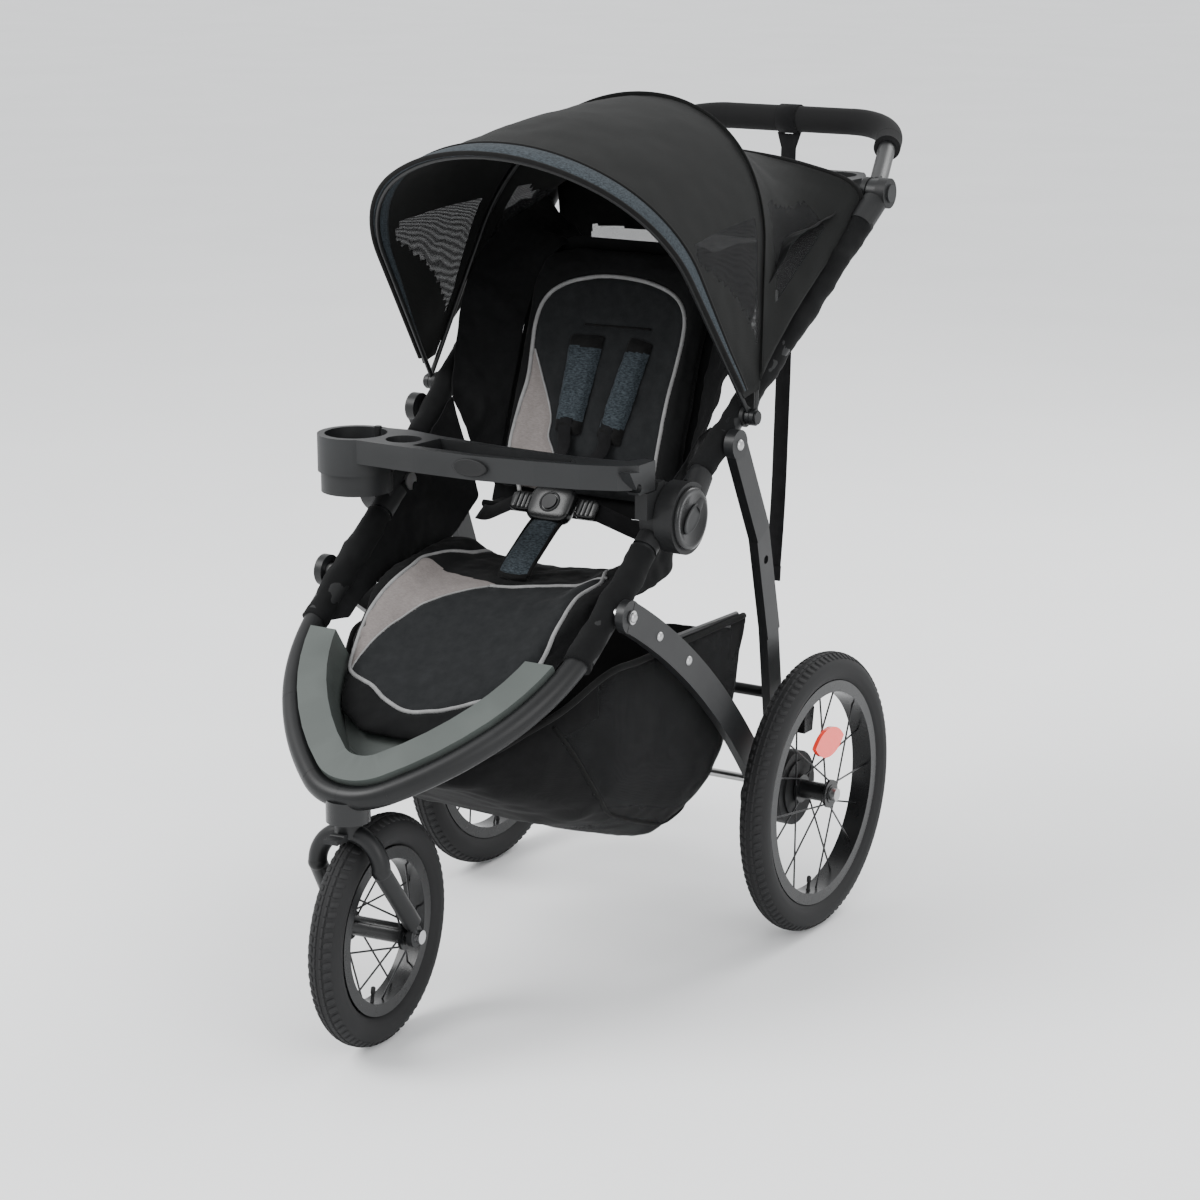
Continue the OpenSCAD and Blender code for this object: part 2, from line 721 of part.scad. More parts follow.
// Stem that turns in the head housing
module cylinder_stem() translate([0, 0, 300]) cylinder(r = pin_r, h = 34);

module front_axle() color("silver") steered() {
    disc([trail, front_wheel_r], 5, -62, 62);
    both() disc([trail, front_wheel_r], 9, fork_half - 0.8, fork_half + 7);
}

module swivel_lock() color("#3a3c3e") steered() {
    translate([-10, -44, 299]) cube([20, 25, 6]);
    disc([-24, 302], 5, -10, 10);
}

// ---- wheels: axis along X, centre at 0 ----

module tyre(r, flange) color("#1a1a1b") rotate([0, 90, 0]) rotate_extrude($fn = 96) difference() {
    translate([r - tyre_section, 0]) circle(tyre_section);
    translate([0, -50]) square([flange, 100]);
}

module rim(flange) color("#17181a") rotate([0, 90, 0]) rotate_extrude($fn = 96) difference() {
    translate([flange - 16, -15]) square([16, 30]);
    translate([flange - 11, -11]) square([20, 22]);
}

module spokes(flange, hub_half) color("#3a3a3c") for (i = [0 : spoke_count - 1]) {
    a = i * 360 / spoke_count;
    face = i % 2 == 0 ? 1 : -1;
    lead = floor(i / 2) % 2 == 0 ? 48 : -48;
    start = [face * (hub_half - 3), 17 * cos(a + lead), 17 * sin(a + lead)];
    end = [face * 3, (flange - 15) * cos(a), (flange - 15) * sin(a)];
    rod(start, end, 1.3);
}

module hub(half, bore) color("#1c1d1f") rotate([0, 90, 0]) difference() {
    union() {
        translate([0, 0, -half]) cylinder(r = 13, h = 2 * half);
        for (z = [-half + 1, half - 5]) translate([0, 0, z]) cylinder(r = 20, h = 4);
    }
    translate([0, 0, -half - 1]) cylinder(r = bore + running, h = 2 * half + 2);
}

rear_flange = 160;
front_flange = 110;
rear_hub_half = 25.5;
front_hub_half = 44;

module at_left() placed() translate([-half_track, 0, axle_z]) children();
module at_right() placed() translate([half_track, 0, axle_z]) children();
module at_front() steered() translate([0, trail, front_wheel_r]) children();

module left_tyre() at_left() tyre(rear_wheel_r, rear_flange);
module left_rim() at_left() rim(rear_flange - 0.3);
module left_spokes() at_left() spokes(rear_flange, rear_hub_half);
module left_hub() at_left() hub(rear_hub_half, 6);
module right_tyre() at_right() tyre(rear_wheel_r, rear_flange);
module right_rim() at_right() rim(rear_flange - 0.3);
module right_spokes() at_right() spokes(rear_flange, rear_hub_half);
module right_hub() at_right() hub(rear_hub_half, 6);
module front_tyre() at_front() tyre(front_wheel_r, front_flange);
module front_rim() at_front() rim(front_flange - 0.3);
module front_spokes() at_front() spokes(front_flange, front_hub_half);
module front_hub() at_front() hub(front_hub_half, 5);

// Lens-shaped reflector clipped to the right wheel's spokes
module wheel_reflector() color("#e8443c") at_right() side(12) translate([6, 73]) linear_extrude(6)
    intersection() {
        translate([0, -32.5]) circle(53.5);
        translate([0, 32.5]) circle(53.5);
    }

front_loop_tube();
lower_side_tubes();
tube_sleeves();
fold_hub_inner();
stay_pivots();
head_housing();
footrest();
seat_cushion();
crotch_strap();
harness_buckle();
buckle_button();
basket();
basket_rods();
side_skirts();
tray_mounts();
upper_side_tubes();
fold_hub_covers();
fold_hub_pins();
handle_pivot_housings();
canopy_mounts();
parent_tray();
canopy_rear_panel();
back_side_panels();
handlebar_tube();
handle_grip();
wrist_strap();
handle_button_left();
handle_button_right();
canopy_mid_bow();
canopy_visor_bow();
canopy_cover();
seat_back_panel();
seat_back_pad();
shoulder_pads();
recline_puller();
child_tray();
tray_release_button();
side_stays();
rear_leg_tubes();
axle_brackets();
rear_axle();
brake_drums();
leg_cross_tube();
brake_pedal();
fork();
front_axle();
swivel_lock();
front_tyre();
front_rim();
front_spokes();
front_hub();
left_tyre();
left_rim();
left_spokes();
left_hub();
right_tyre();
right_rim();
right_spokes();
right_hub();
wheel_reflector();
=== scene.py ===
import math
import random

import bmesh
import bpy
from mathutils import Euler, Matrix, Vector, noise
from mathutils.bvhtree import BVHTree
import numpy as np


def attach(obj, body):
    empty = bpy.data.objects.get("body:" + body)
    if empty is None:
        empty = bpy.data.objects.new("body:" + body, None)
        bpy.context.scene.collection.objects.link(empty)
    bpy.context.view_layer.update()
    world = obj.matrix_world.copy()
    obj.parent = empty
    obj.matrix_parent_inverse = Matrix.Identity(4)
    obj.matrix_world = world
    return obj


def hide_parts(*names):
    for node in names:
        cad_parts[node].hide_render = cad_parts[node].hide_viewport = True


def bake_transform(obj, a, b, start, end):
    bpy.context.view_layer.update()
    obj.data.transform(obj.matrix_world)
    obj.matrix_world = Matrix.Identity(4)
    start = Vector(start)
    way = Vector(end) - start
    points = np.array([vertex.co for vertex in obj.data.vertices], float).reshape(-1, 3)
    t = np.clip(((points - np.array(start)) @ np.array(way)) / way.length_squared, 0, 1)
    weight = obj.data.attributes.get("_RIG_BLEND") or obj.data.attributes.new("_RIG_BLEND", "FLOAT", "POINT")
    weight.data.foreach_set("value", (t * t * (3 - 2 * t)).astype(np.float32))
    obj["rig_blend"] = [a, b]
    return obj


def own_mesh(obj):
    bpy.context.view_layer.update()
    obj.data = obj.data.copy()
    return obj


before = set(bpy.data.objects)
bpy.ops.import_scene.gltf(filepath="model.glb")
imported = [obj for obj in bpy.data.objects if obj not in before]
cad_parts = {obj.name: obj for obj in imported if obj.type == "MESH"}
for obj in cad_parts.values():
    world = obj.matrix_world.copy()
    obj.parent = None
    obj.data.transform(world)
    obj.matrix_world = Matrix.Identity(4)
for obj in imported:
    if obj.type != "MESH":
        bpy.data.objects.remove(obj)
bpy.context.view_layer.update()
random.seed(7)

# ---------------------------------------------------------------- places
# Sizes below are in millimetres from the rear axle; P turns them into the frame's metres.
MID_TO_AXLE = 191.5
AXLE_Z = 199
CANOPY_AT = (-168, 759.2)
VISOR = dict(angle=125, reach=425, steps=[(0, 2), (274.5, 32), (0, 1), (188, 54), (0, 227.5)])
MIDBOW = dict(angle=68.8, reach=420, steps=[(0, 2), (216.5, 60), (0, 1), (260, 20), (0, 220)])
BACK_SLOPE = math.radians(70)
HALF_TRACK = 274
SWIVEL_Y = -729
TRAIL = 67
STEER = math.radians(5.5)


def P(x, y, z):
    return Vector((x / 1000, (y + MID_TO_AXLE) / 1000, z / 1000))


def B(x, t, n):
    """Point on the seat back: x across, t up the back, n out of it towards the child."""
    c, s = math.cos(BACK_SLOPE), math.sin(BACK_SLOPE)
    return P(x, -118 + t * c - n * s, 800 + t * s + n * c)


def side_name(s):
    """left is -X, seen from the front."""
    return "left" if s < 0 else "right"


def steered(x, y, z):
    """Point of the front wheel's own frame: y behind the swivel axis, z up."""
    c, s = math.cos(STEER), math.sin(STEER)
    return P(x * c - y * s, SWIVEL_Y + x * s + y * c, z)


def interp(table, v):
    if v <= table[0][0]:
        return table[0][1]
    for (a, p), (b, q) in zip(table[:-1], table[1:]):
        if v <= b:
            return p + (q - p) * (v - a) / (b - a)
    return table[-1][1]


def resample(points, step):
    """Smooth line through the points (Catmull-Rom), at about that step."""
    pts = [Vector(p) for p in points]
    ext = [2 * pts[0] - pts[1]] + pts + [2 * pts[-1] - pts[-2]]
    out = []
    for i in range(1, len(ext) - 2):
        a, b, c, d = ext[i - 1:i + 3]
        n = max(1, int(round((c - b).length / step)))
        for k in range(n):
            t = k / n
            out.append(0.5 * (2 * b + (c - a) * t + (2 * a - 5 * b + 4 * c - d) * t * t
                              + (3 * b - a - 3 * c + d) * t * t * t))
    return out + [pts[-1]]


def inside(x, y, poly):
    hit = False
    for (x1, y1), (x2, y2) in zip(poly, poly[1:] + poly[:1]):
        if (y1 > y) != (y2 > y) and x < (x2 - x1) * (y - y1) / (y2 - y1) + x1:
            hit = not hit
    return hit


# ---------------------------------------------------------------- materials
def new_mat(name, color, rough, metallic=0.0, **sockets):
    m = bpy.data.materials.new(name)
    m.use_nodes = True
    nt = m.node_tree
    b = nt.nodes["Principled BSDF"]
    b.inputs["Base Color"].default_value = (*color, 1)
    b.inputs["Roughness"].default_value = rough
    b.inputs["Metallic"].default_value = metallic
    for k, v in sockets.items():
        b.inputs[k.replace("_", " ")].default_value = v
    return m, nt, b


def node(nt, kind, **props):
    n = nt.nodes.new(kind)
    for k, v in props.items():
        if k in n.inputs.keys():
            n.inputs[k].default_value = v
        else:
            setattr(n, k, v)
    return n


def tex_noise(nt, coord, scale, detail=3.0, rough=0.6, stretch=None):
    if stretch:
        mp = nt.nodes.new("ShaderNodeMapping")
        mp.inputs["Scale"].default_value = stretch
        nt.links.new(coord, mp.inputs["Vector"])
        coord = mp.outputs["Vector"]
    n = node(nt, "ShaderNodeTexNoise", Scale=scale, Detail=detail, Roughness=rough)
    nt.links.new(coord, n.inputs["Vector"])
    return n.outputs["Fac"]


def ramp(nt, fac, stops):
    r = nt.nodes.new("ShaderNodeValToRGB")
    els = r.color_ramp.elements
    while len(els) < len(stops):
        els.new(0.5)
    for e, (pos, col) in zip(els, stops):
        e.position = pos
        e.color = (*col, 1)
    nt.links.new(fac, r.inputs["Fac"])
    return r.outputs["Color"]


def math_node(nt, op, a, b=0.5):
    m = nt.nodes.new("ShaderNodeMath")
    m.operation = op
    for i, v in enumerate((a, b)):
        if isinstance(v, (int, float)):
            m.inputs[i].default_value = v
        else:
            nt.links.new(v, m.inputs[i])
    return m.outputs[0]


def bump(nt, b, height, strength, distance):
    n = node(nt, "ShaderNodeBump", Strength=strength, Distance=distance)
    nt.links.new(height, n.inputs["Height"])
    nt.links.new(n.outputs["Normal"], b.inputs["Normal"])


def map_range(nt, fac, lo, hi):
    n = node(nt, "ShaderNodeMapRange")
    n.inputs["To Min"].default_value = lo
    n.inputs["To Max"].default_value = hi
    nt.links.new(fac, n.inputs["Value"])
    return n.outputs["Result"]


def scaled(color, k):
    return tuple(min(1, c * k) for c in color)


def hard(name, color, rough, grain=900, depth=0.00006, metallic=0.0, vary=0.18, edge_highlight=1.5, **sockets):
    """Moulded or coated surface: fine grain, patches of gloss, painted highlight: lighter colour on sharp convex edges.
    """
    m, nt, b = new_mat(name, color, rough, metallic, **sockets)
    co = nt.nodes.new("ShaderNodeTexCoord").outputs["Object"]
    patches = tex_noise(nt, co, 14, 4, 0.65)
    fine = tex_noise(nt, co, grain, 2, 0.5)
    base = ramp(nt, patches, [(0.3, scaled(color, 1 - vary)), (0.7, scaled(color, 1 + vary))])
    # Painted highlight: sharp convex edges (Pointiness) are mixed towards a lighter colour, as if light caught them.
    edge = nt.nodes.new("ShaderNodeNewGeometry").outputs["Pointiness"]
    edge_highlight_mask = ramp(nt, edge, [(0.53, (0, 0, 0)), (0.62, (1, 1, 1))])
    mix = node(nt, "ShaderNodeMix", data_type="RGBA")
    nt.links.new(edge_highlight_mask, mix.inputs[0])
    nt.links.new(base, mix.inputs[6])
    mix.inputs[7].default_value = (*scaled(color, 1 + edge_highlight * 0.4), 1)
    nt.links.new(mix.outputs[2], b.inputs["Base Color"])
    nt.links.new(map_range(nt, patches, max(0.03, rough - 0.08), min(1, rough + 0.1)),
                 b.inputs["Roughness"])
    bump(nt, b, fine, 0.35, depth)
    return m


def woven(name, dark, light, thread=0.0011, heather=0.0, rough=0.9, depth=0.00025, sheen=0.02,
          alpha=None, fuzz=0.3):
    """Cloth: two crossing thread directions, thread-to-thread colour, soft wrinkles."""
    m, nt, b = new_mat(name, dark, rough, 0.0, Sheen_Weight=sheen, Sheen_Roughness=0.5,
                       Specular_IOR_Level=0.15)
    co = nt.nodes.new("ShaderNodeTexCoord").outputs["Object"]
    k = 2 * math.pi / thread
    sep = nt.nodes.new("ShaderNodeSeparateXYZ")
    nt.links.new(co, sep.inputs[0])
    along = math_node(nt, "SINE", math_node(nt, "MULTIPLY", sep.outputs["X"], k))
    yz = math_node(nt, "ADD", sep.outputs["Z"], math_node(nt, "MULTIPLY", sep.outputs["Y"], 0.7))
    across = math_node(nt, "SINE", math_node(nt, "MULTIPLY", yz, k))
    weave = math_node(nt, "MULTIPLY", along, across)
    mottle = tex_noise(nt, co, 420 if heather else 60, 3, 0.7, (1, 1, 1) if not heather else (0.5, 1, 1.6))
    weave01 = map_range(nt, weave, 0.35, 0.65)
    fac = math_node(nt, "ADD", math_node(nt, "MULTIPLY", weave01, 1 - heather),
                    math_node(nt, "MULTIPLY", mottle, heather)) if heather else \
        math_node(nt, "ADD", math_node(nt, "MULTIPLY", weave01, 0.6),
                  math_node(nt, "MULTIPLY", mottle, 0.4))
    nt.links.new(ramp(nt, fac, [(0.36, dark), (0.64, light)]), b.inputs["Base Color"])
    soft = tex_noise(nt, co, 22, 3, 0.55)
    height = math_node(nt, "ADD", math_node(nt, "MULTIPLY", weave, 0.25),
                       math_node(nt, "MULTIPLY", soft, fuzz * 6))
    bump(nt, b, height, 0.5, depth)
    nt.links.new(map_range(nt, mottle, rough - 0.1, min(1, rough + 0.08)), b.inputs["Roughness"])
    if alpha is not None:
        hole = math_node(nt, "MULTIPLY", math_node(nt, "ABSOLUTE", along), math_node(nt, "ABSOLUTE", across))
        nt.links.new(map_range(nt, hole, min(1, alpha + 0.3), alpha), b.inputs["Alpha"])
        m.surface_render_method = "DITHERED"
    return m


# In the hard() calls below, the eighth argument (or the keyword after vary) sets how much lighter the painted edge
# highlight is.
M = {
    "frame": hard("powder_coat_black", (0.0055, 0.0058, 0.0062), 0.40, 1400, 0.00004, 0.0, 0.18, 1.2,
                  Specular_IOR_Level=0.28),
    "plastic": hard("moulded_plastic_black", (0.0070, 0.0072, 0.0075), 0.50, 1100, 0.00007, 0.0, 0.18, 1.2,
                    Specular_IOR_Level=0.25),
    "plastic2": hard("moulded_plastic_grey", (0.011, 0.0115, 0.012), 0.46, 1100, 0.00006, 0.0, 0.15, 1.2,
                     Specular_IOR_Level=0.28),
    "gloss": hard("moulded_plastic_gloss", (0.0050, 0.0052, 0.0055), 0.26, 700, 0.00003, 0.0, 0.15, 1.2,
                  Specular_IOR_Level=0.35),
    "rubber": hard("tyre_rubber", (0.0105, 0.0105, 0.011), 0.74, 500, 0.00015, vary=0.25, edge_highlight=1.0,
                   Specular_IOR_Level=0.3),
    "foam": hard("grip_foam", (0.0065, 0.0065, 0.0068), 0.88, 1800, 0.0002, vary=0.15, Specular_IOR_Level=0.2),
    "foot": hard("footrest_plastic", (0.052, 0.060, 0.056), 0.52, 700, 0.00012, vary=0.1, edge_highlight=0.6,
                 Specular_IOR_Level=0.3),
    "steel": hard("zinc_steel", (0.42, 0.42, 0.42), 0.3, 300, 0.00003, 1.0, 0.08, 0.2),
    "chrome": hard("chrome", (0.70, 0.70, 0.71), 0.12, 300, 0.00001, 1.0, 0.05, 0.1),
    "spoke": hard("spoke_black", (0.012, 0.012, 0.013), 0.3, 600, 0.00003, 0.4),
    "black": woven("seat_cloth_black", (0.0022, 0.0023, 0.0025), (0.0065, 0.0068, 0.0072), 0.0012),
    "basketcloth": woven("basket_cloth_black", (0.0022, 0.0022, 0.0024), (0.0075, 0.0076, 0.0078), 0.0016),
    "canopy": woven("canopy_cloth_charcoal", (0.0042, 0.0045, 0.0043), (0.0100, 0.0105, 0.0102), 0.0012,
                    heather=0.35, fuzz=0.45),
    "insert": woven("seat_insert_grey", (0.0075, 0.0083, 0.0090), (0.0185, 0.0195, 0.0205), 0.0022),
    "taupe": woven("seat_wedge_taupe", (0.135, 0.120, 0.115), (0.225, 0.205, 0.198), 0.0018, heather=0.4),
    "pad": woven("pad_cloth_heather", (0.0085, 0.0120, 0.0150), (0.0480, 0.0590, 0.0680), 0.0014, heather=0.85),
    "piping": woven("piping_light_grey", (0.17, 0.17, 0.17), (0.29, 0.29, 0.29), 0.0016),
    "piping_black": woven("piping_black", (0.0025, 0.0025, 0.0025), (0.008, 0.008, 0.008), 0.0014),
    "webbing": woven("webbing_black", (0.0022, 0.0022, 0.0025), (0.010, 0.010, 0.011), 0.0024, depth=0.0005),
    "pull": woven("puller_grey", (0.09, 0.092, 0.095), (0.18, 0.18, 0.185), 0.002, depth=0.0005),
    "mesh": woven("window_mesh", (0.0040, 0.0042, 0.0044), (0.014, 0.0145, 0.015), 0.0030, alpha=0.62),
    "mesh_light": woven("rear_window_mesh", (0.16, 0.16, 0.16), (0.34, 0.34, 0.34), 0.0030, alpha=0.30),
    "lens": hard("reflector_lens", (0.80, 0.035, 0.022), 0.15, 260, 0.0004, Coat_Weight=0.6),
}


# ---------------------------------------------------------------- mesh helpers
def piece(name, verts, faces, material, body=None, smooth=True):
    me = bpy.data.meshes.new(name)
    me.from_pydata([tuple(v) for v in verts], [], faces)
    me.update()
    o = bpy.data.objects.new(name, me)
    bpy.context.scene.collection.objects.link(o)
    for m in (material if isinstance(material, (list, tuple)) else [material]):
        me.materials.append(M[m])
    bm = bmesh.new()
    bm.from_mesh(me)
    bmesh.ops.recalc_face_normals(bm, faces=bm.faces)
    bm.to_mesh(me)
    bm.free()
    for p in me.polygons:
        p.use_smooth = smooth
    if body:
        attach(o, body)
    return o


def grid(rows, close_rows=False, close_cols=False, caps=False):
    n, m = len(rows), len(rows[0])
    verts = [p for r in rows for p in r]
    faces = []
    for i in range(n if close_rows else n - 1):
        for j in range(m if close_cols else m - 1):
            a, b = i * m + j, i * m + (j + 1) % m
            c, d = ((i + 1) % n) * m + (j + 1) % m, ((i + 1) % n) * m + j
            faces.append((a, b, c, d))
    if caps:
        faces.append(tuple(range(m))[::-1])
        faces.append(tuple((n - 1) * m + j for j in range(m)))
    return verts, faces


def circle(r, n=10):
    return [(r * math.cos(2 * math.pi * k / n), r * math.sin(2 * math.pi * k / n)) for k in range(n)]


def flat(w, t, r=0.0006):
    """Flat strap section: wide w along the side, t thick, corners cut."""
    w, t = w / 2, t / 2
    r = min(r, t * 0.9)
    return [(-w + r, -t), (w - r, -t), (w, -t + r), (w, t - r), (w - r, t), (-w + r, t), (-w, t - r), (-w, -t + r)]


def sweep_rows(points, profile, up=None, closed=False):
    pts = [Vector(p) for p in points]
    rows = []
    side = None
    for i, p in enumerate(pts):
        a = pts[i - 1] if (i > 0 or closed) else p
        c = pts[(i + 1) % len(pts)] if (i < len(pts) - 1 or closed) else p
        t = (c - a).normalized()
        if up is not None:
            u = up[i] if isinstance(up, list) else up
            side = t.cross(u).normalized()
        elif side is None:
            side = t.orthogonal().normalized()
        else:
            side = (side - t * side.dot(t)).normalized()
        n = side.cross(t)
        pr = profile(i / (len(pts) - 1)) if callable(profile) else profile
        rows.append([p + side * x + n * y for x, y in pr])
    return rows


def sweep(name, points, profile, material, body, up=None, closed=False):
    rows = sweep_rows(points, profile, up, closed)
    v, f = grid(rows, close_rows=closed, close_cols=True, caps=not closed)
    return piece(name, v, f, material, body)


def revolve(name, outline, at, axis, material, body, steps=32, closed=False):
    """outline: (distance along axis, radius) pairs in metres."""
    axis = Vector(axis).normalized()
    u = axis.orthogonal().normalized()
    w = axis.cross(u)
    rows = []
    for k in range(steps):
        a = 2 * math.pi * k / steps
        d = u * math.cos(a) + w * math.sin(a)
        rows.append([Vector(at) + axis * h + d * r for h, r in outline])
    v, f = grid(rows, close_rows=True, close_cols=closed)
    o = piece(name, v, f, material, body)
    bm = bmesh.new()
    bm.from_mesh(o.data)
    bmesh.ops.remove_doubles(bm, verts=bm.verts, dist=1e-6)
    bmesh.ops.recalc_face_normals(bm, faces=bm.faces)
    bm.to_mesh(o.data)
    bm.free()
    return o


def modify(o, kind, **props):
    m = o.modifiers.new(kind.lower(), kind)
    for k, v in props.items():
        setattr(m, k, v)
    return m


def apply_all(o):
    dg = bpy.context.evaluated_depsgraph_get()
    me = bpy.data.meshes.new_from_object(o.evaluated_get(dg))
    o.modifiers.clear()
    o.data = me
    return o


def wrinkle(o, amount, scale, seed=0.0, where=None):
    """Moves each point along its normal by soft noise."""
    me = o.data
    normals = [v.normal.copy() for v in me.vertices]
    for v, n in zip(me.vertices, normals):
        k = where(v.co) if where else 1.0
        d = noise.fractal(v.co * scale + Vector((seed, seed * 1.7, -seed)), 0.9, 2.0, 3)
        v.co += n * (amount * k * d)
    me.update()


def inflate(o, voxel=0.005, pressure=4.0, cap=0.008):
    """Fills a closed cushion shape as padding does: remesh, cloth with inner pressure, capped."""
    me0 = o.data
    modify(o, "REMESH", mode="VOXEL", voxel_size=voxel, use_smooth_shade=True)
    apply_all(o)
    rest = [v.co.copy() for v in o.data.vertices]
    c = modify(o, "CLOTH")
    s = c.settings
    s.quality = 4
    s.mass = 0.2
    s.tension_stiffness = s.compression_stiffness = 25
    s.shear_stiffness = 10
    s.bending_stiffness = 2
    s.use_pressure = True
    s.uniform_pressure_force = pressure
    s.effector_weights.gravity = 0
    c.point_cache.frame_start = 1
    c.point_cache.frame_end = 20
    sc = bpy.context.scene
    for f in range(1, 21):
        sc.frame_set(f)
    apply_all(o)
    sc.frame_set(1)
    for v, r in zip(o.data.vertices, rest):
        d = v.co - r
        if d.length > cap:
            v.co = r + d * (cap / d.length)
    modify(o, "SMOOTH", factor=0.5, iterations=2)
    modify(o, "SUBSURF", levels=1, render_levels=1)
    apply_all(o)
    for m in me0.materials:
        if m.name not in [x.name for x in o.data.materials if x]:
            o.data.materials.append(m)
    for p in o.data.polygons:
        p.use_smooth = True
    return o


def tree(o):
    dg = bpy.context.evaluated_depsgraph_get()
    return BVHTree.FromObject(o, dg)


def dropped(bvh, points, toward, lift=0.0):
    """Points moved along a direction onto the surface, then lifted back out of it."""
    d = Vector(toward).normalized()
    out = []
    for p in points:
        hit = bvh.ray_cast(p - d * 0.15, d)
        q = hit[0] if hit[0] is not None else p
        out.append(q - d * lift)
    for _ in range(2):
        out = [out[0]] + [(a + 2 * b + c) / 4 for a, b, c in zip(out[:-2], out[1:-1], out[2:])] + [out[-1]]
    return out


def seam(o, lines, width, depth, toward):
    """Pulls the surface in along sewn lines."""
    from mathutils.kdtree import KDTree
    pts = [p for l in lines for p in l]
    kd = KDTree(len(pts))
    for i, p in enumerate(pts):
        kd.insert(p, i)
    kd.balance()
    d = Vector(toward).normalized()
    normals = [v.normal.copy() for v in o.data.vertices]
    for v, n in zip(o.data.vertices, normals):
        if n.dot(d) > 0.2:
            continue
        r = kd.find(v.co)[2]
        if r < width * 3:
            v.co += d * depth * math.exp(-(r / width) ** 2)
    o.data.update()


def zone(o, pick):
    for p in o.data.polygons:
        p.material_index = pick(p.center, p.normal)


# ---------------------------------------------------------------- camera, light, floor
cam = bpy.data.cameras.new("camera")
cam.lens = 88.1
cam.sensor_width = 36
cam.clip_end = 200
camera = bpy.data.objects.new("camera", cam)
camera.location = (2.0767, -3.3179, 1.4923)
camera.rotation_euler = Euler((math.radians(75.52), 0, math.radians(31.6)))
bpy.context.scene.collection.objects.link(camera)
bpy.context.scene.camera = camera

world = bpy.data.worlds.new("studio")
bpy.context.scene.world = world
world.use_nodes = True
world.node_tree.nodes["Background"].inputs["Color"].default_value = (0.93, 0.94, 0.95, 1)
world.node_tree.nodes["Background"].inputs["Strength"].default_value = 1.45


def area(name, place, target, size, power):
    l = bpy.data.lights.new(name, "AREA")
    l.shape = "DISK"
    l.size = size
    l.energy = power
    o = bpy.data.objects.new(name, l)
    o.location = place
    o.rotation_euler = (Vector(target) - Vector(place)).to_track_quat("-Z", "Y").to_euler()
    bpy.context.scene.collection.objects.link(o)


area("key", (-2.2, -2.6, 3.6), (0, 0, 0.5), 2.6, 190)
area("fill", (3.4, -2.0, 2.2), (0, 0, 0.6), 2.6, 70)
area("rim", (1.0, 3.2, 3.0), (0, 0, 0.6), 2.2, 80)

me = bpy.data.meshes.new("floor")
me.from_pydata([(-60, -60, 0), (60, -60, 0), (60, 60, 0), (-60, 60, 0)], [], [(0, 1, 2, 3)])
floor = bpy.data.objects.new("floor", me)
bpy.context.scene.collection.objects.link(floor)
fm, fnt, fb = new_mat("floor_pale", (0.90, 0.905, 0.91), 0.75)
fco = fnt.nodes.new("ShaderNodeTexCoord").outputs["Object"]
fnt.links.new(ramp(fnt, tex_noise(fnt, fco, 1.5, 3, 0.5), [(0.3, (0.89, 0.895, 0.90)), (0.7, (0.92, 0.925, 0.93))]),
              fb.inputs["Base Color"])
me.materials.append(fm)

# ---------------------------------------------------------------- CAD nodes keep their shape
NODE_MAT = {
    "front_loop_tube": "frame", "lower_side_tubes": "frame", "upper_side_tubes": "frame",
    "tube_sleeves": "plastic", "fold_hub_inner": "plastic", "stay_pivots": "steel",
    "head_housing": "gloss", "footrest": "foot", "buckle_button": "plastic2", "basket_rods": "frame",
    "tray_mounts": "plastic", "fold_hub_covers": "plastic", "fold_hub_pins": "steel",
    "handle_pivot_housings": "plastic", "canopy_mounts": "plastic", "parent_tray": "plastic2",
    "handlebar_tube": "frame", "handle_grip": "foam", "handle_button_left": "plastic2",
    "handle_button_right": "plastic2", "canopy_mid_bow": "frame", "canopy_visor_bow": "frame",
    "child_tray": "plastic2", "tray_release_button": "plastic", "side_stays": "frame",
    "rear_leg_tubes": "frame", "axle_brackets": "plastic", "rear_axle": "steel", "brake_drums": "plastic",
    "leg_cross_tube": "frame", "brake_pedal": "gloss", "fork": "frame", "front_axle": "chrome",
    "swivel_lock": "plastic", "front_rim": "gloss", "left_rim": "gloss", "right_rim": "gloss",
    "front_hub": "gloss", "left_hub": "gloss", "right_hub": "gloss", "front_spokes": "spoke",
    "left_spokes": "spoke", "right_spokes": "spoke", "wheel_reflector": "lens",
    "seat_back_panel": "black",
}
ROUNDED = {
    "fold_hub_inner": 1.2, "fold_hub_covers": 2.0, "tray_mounts": 1.2, "handle_pivot_housings": 1.6,
    "parent_tray": 1.6, "child_tray": 2.2, "side_stays": 1.2, "axle_brackets": 1.0, "brake_drums": 1.4,
    "brake_pedal": 1.5, "head_housing": 1.5, "swivel_lock": 1.0, "footrest": 1.6, "buckle_button": 1.0,
    "handle_button_left": 1.0, "handle_button_right": 1.0, "tray_release_button": 0.8, "wheel_reflector": 0.8,
    "rear_leg_tubes": 2.0, "handle_grip": 2.0, "left_hub": 0.6, "right_hub": 0.6, "front_hub": 0.6,
}
for name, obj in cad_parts.items():
    mat_name = NODE_MAT.get(name)
    if mat_name:
        if not obj.data.materials:
            obj.data.materials.append(M[mat_name])
        for s in obj.material_slots:
            s.link = "OBJECT"
            s.material = M[mat_name]
    if name in ROUNDED:
        modify(obj, "BEVEL", width=ROUNDED[name] / 1000, segments=2, limit_method="ANGLE",
               angle_limit=math.radians(50), use_clamp_overlap=True, harden_normals=False)


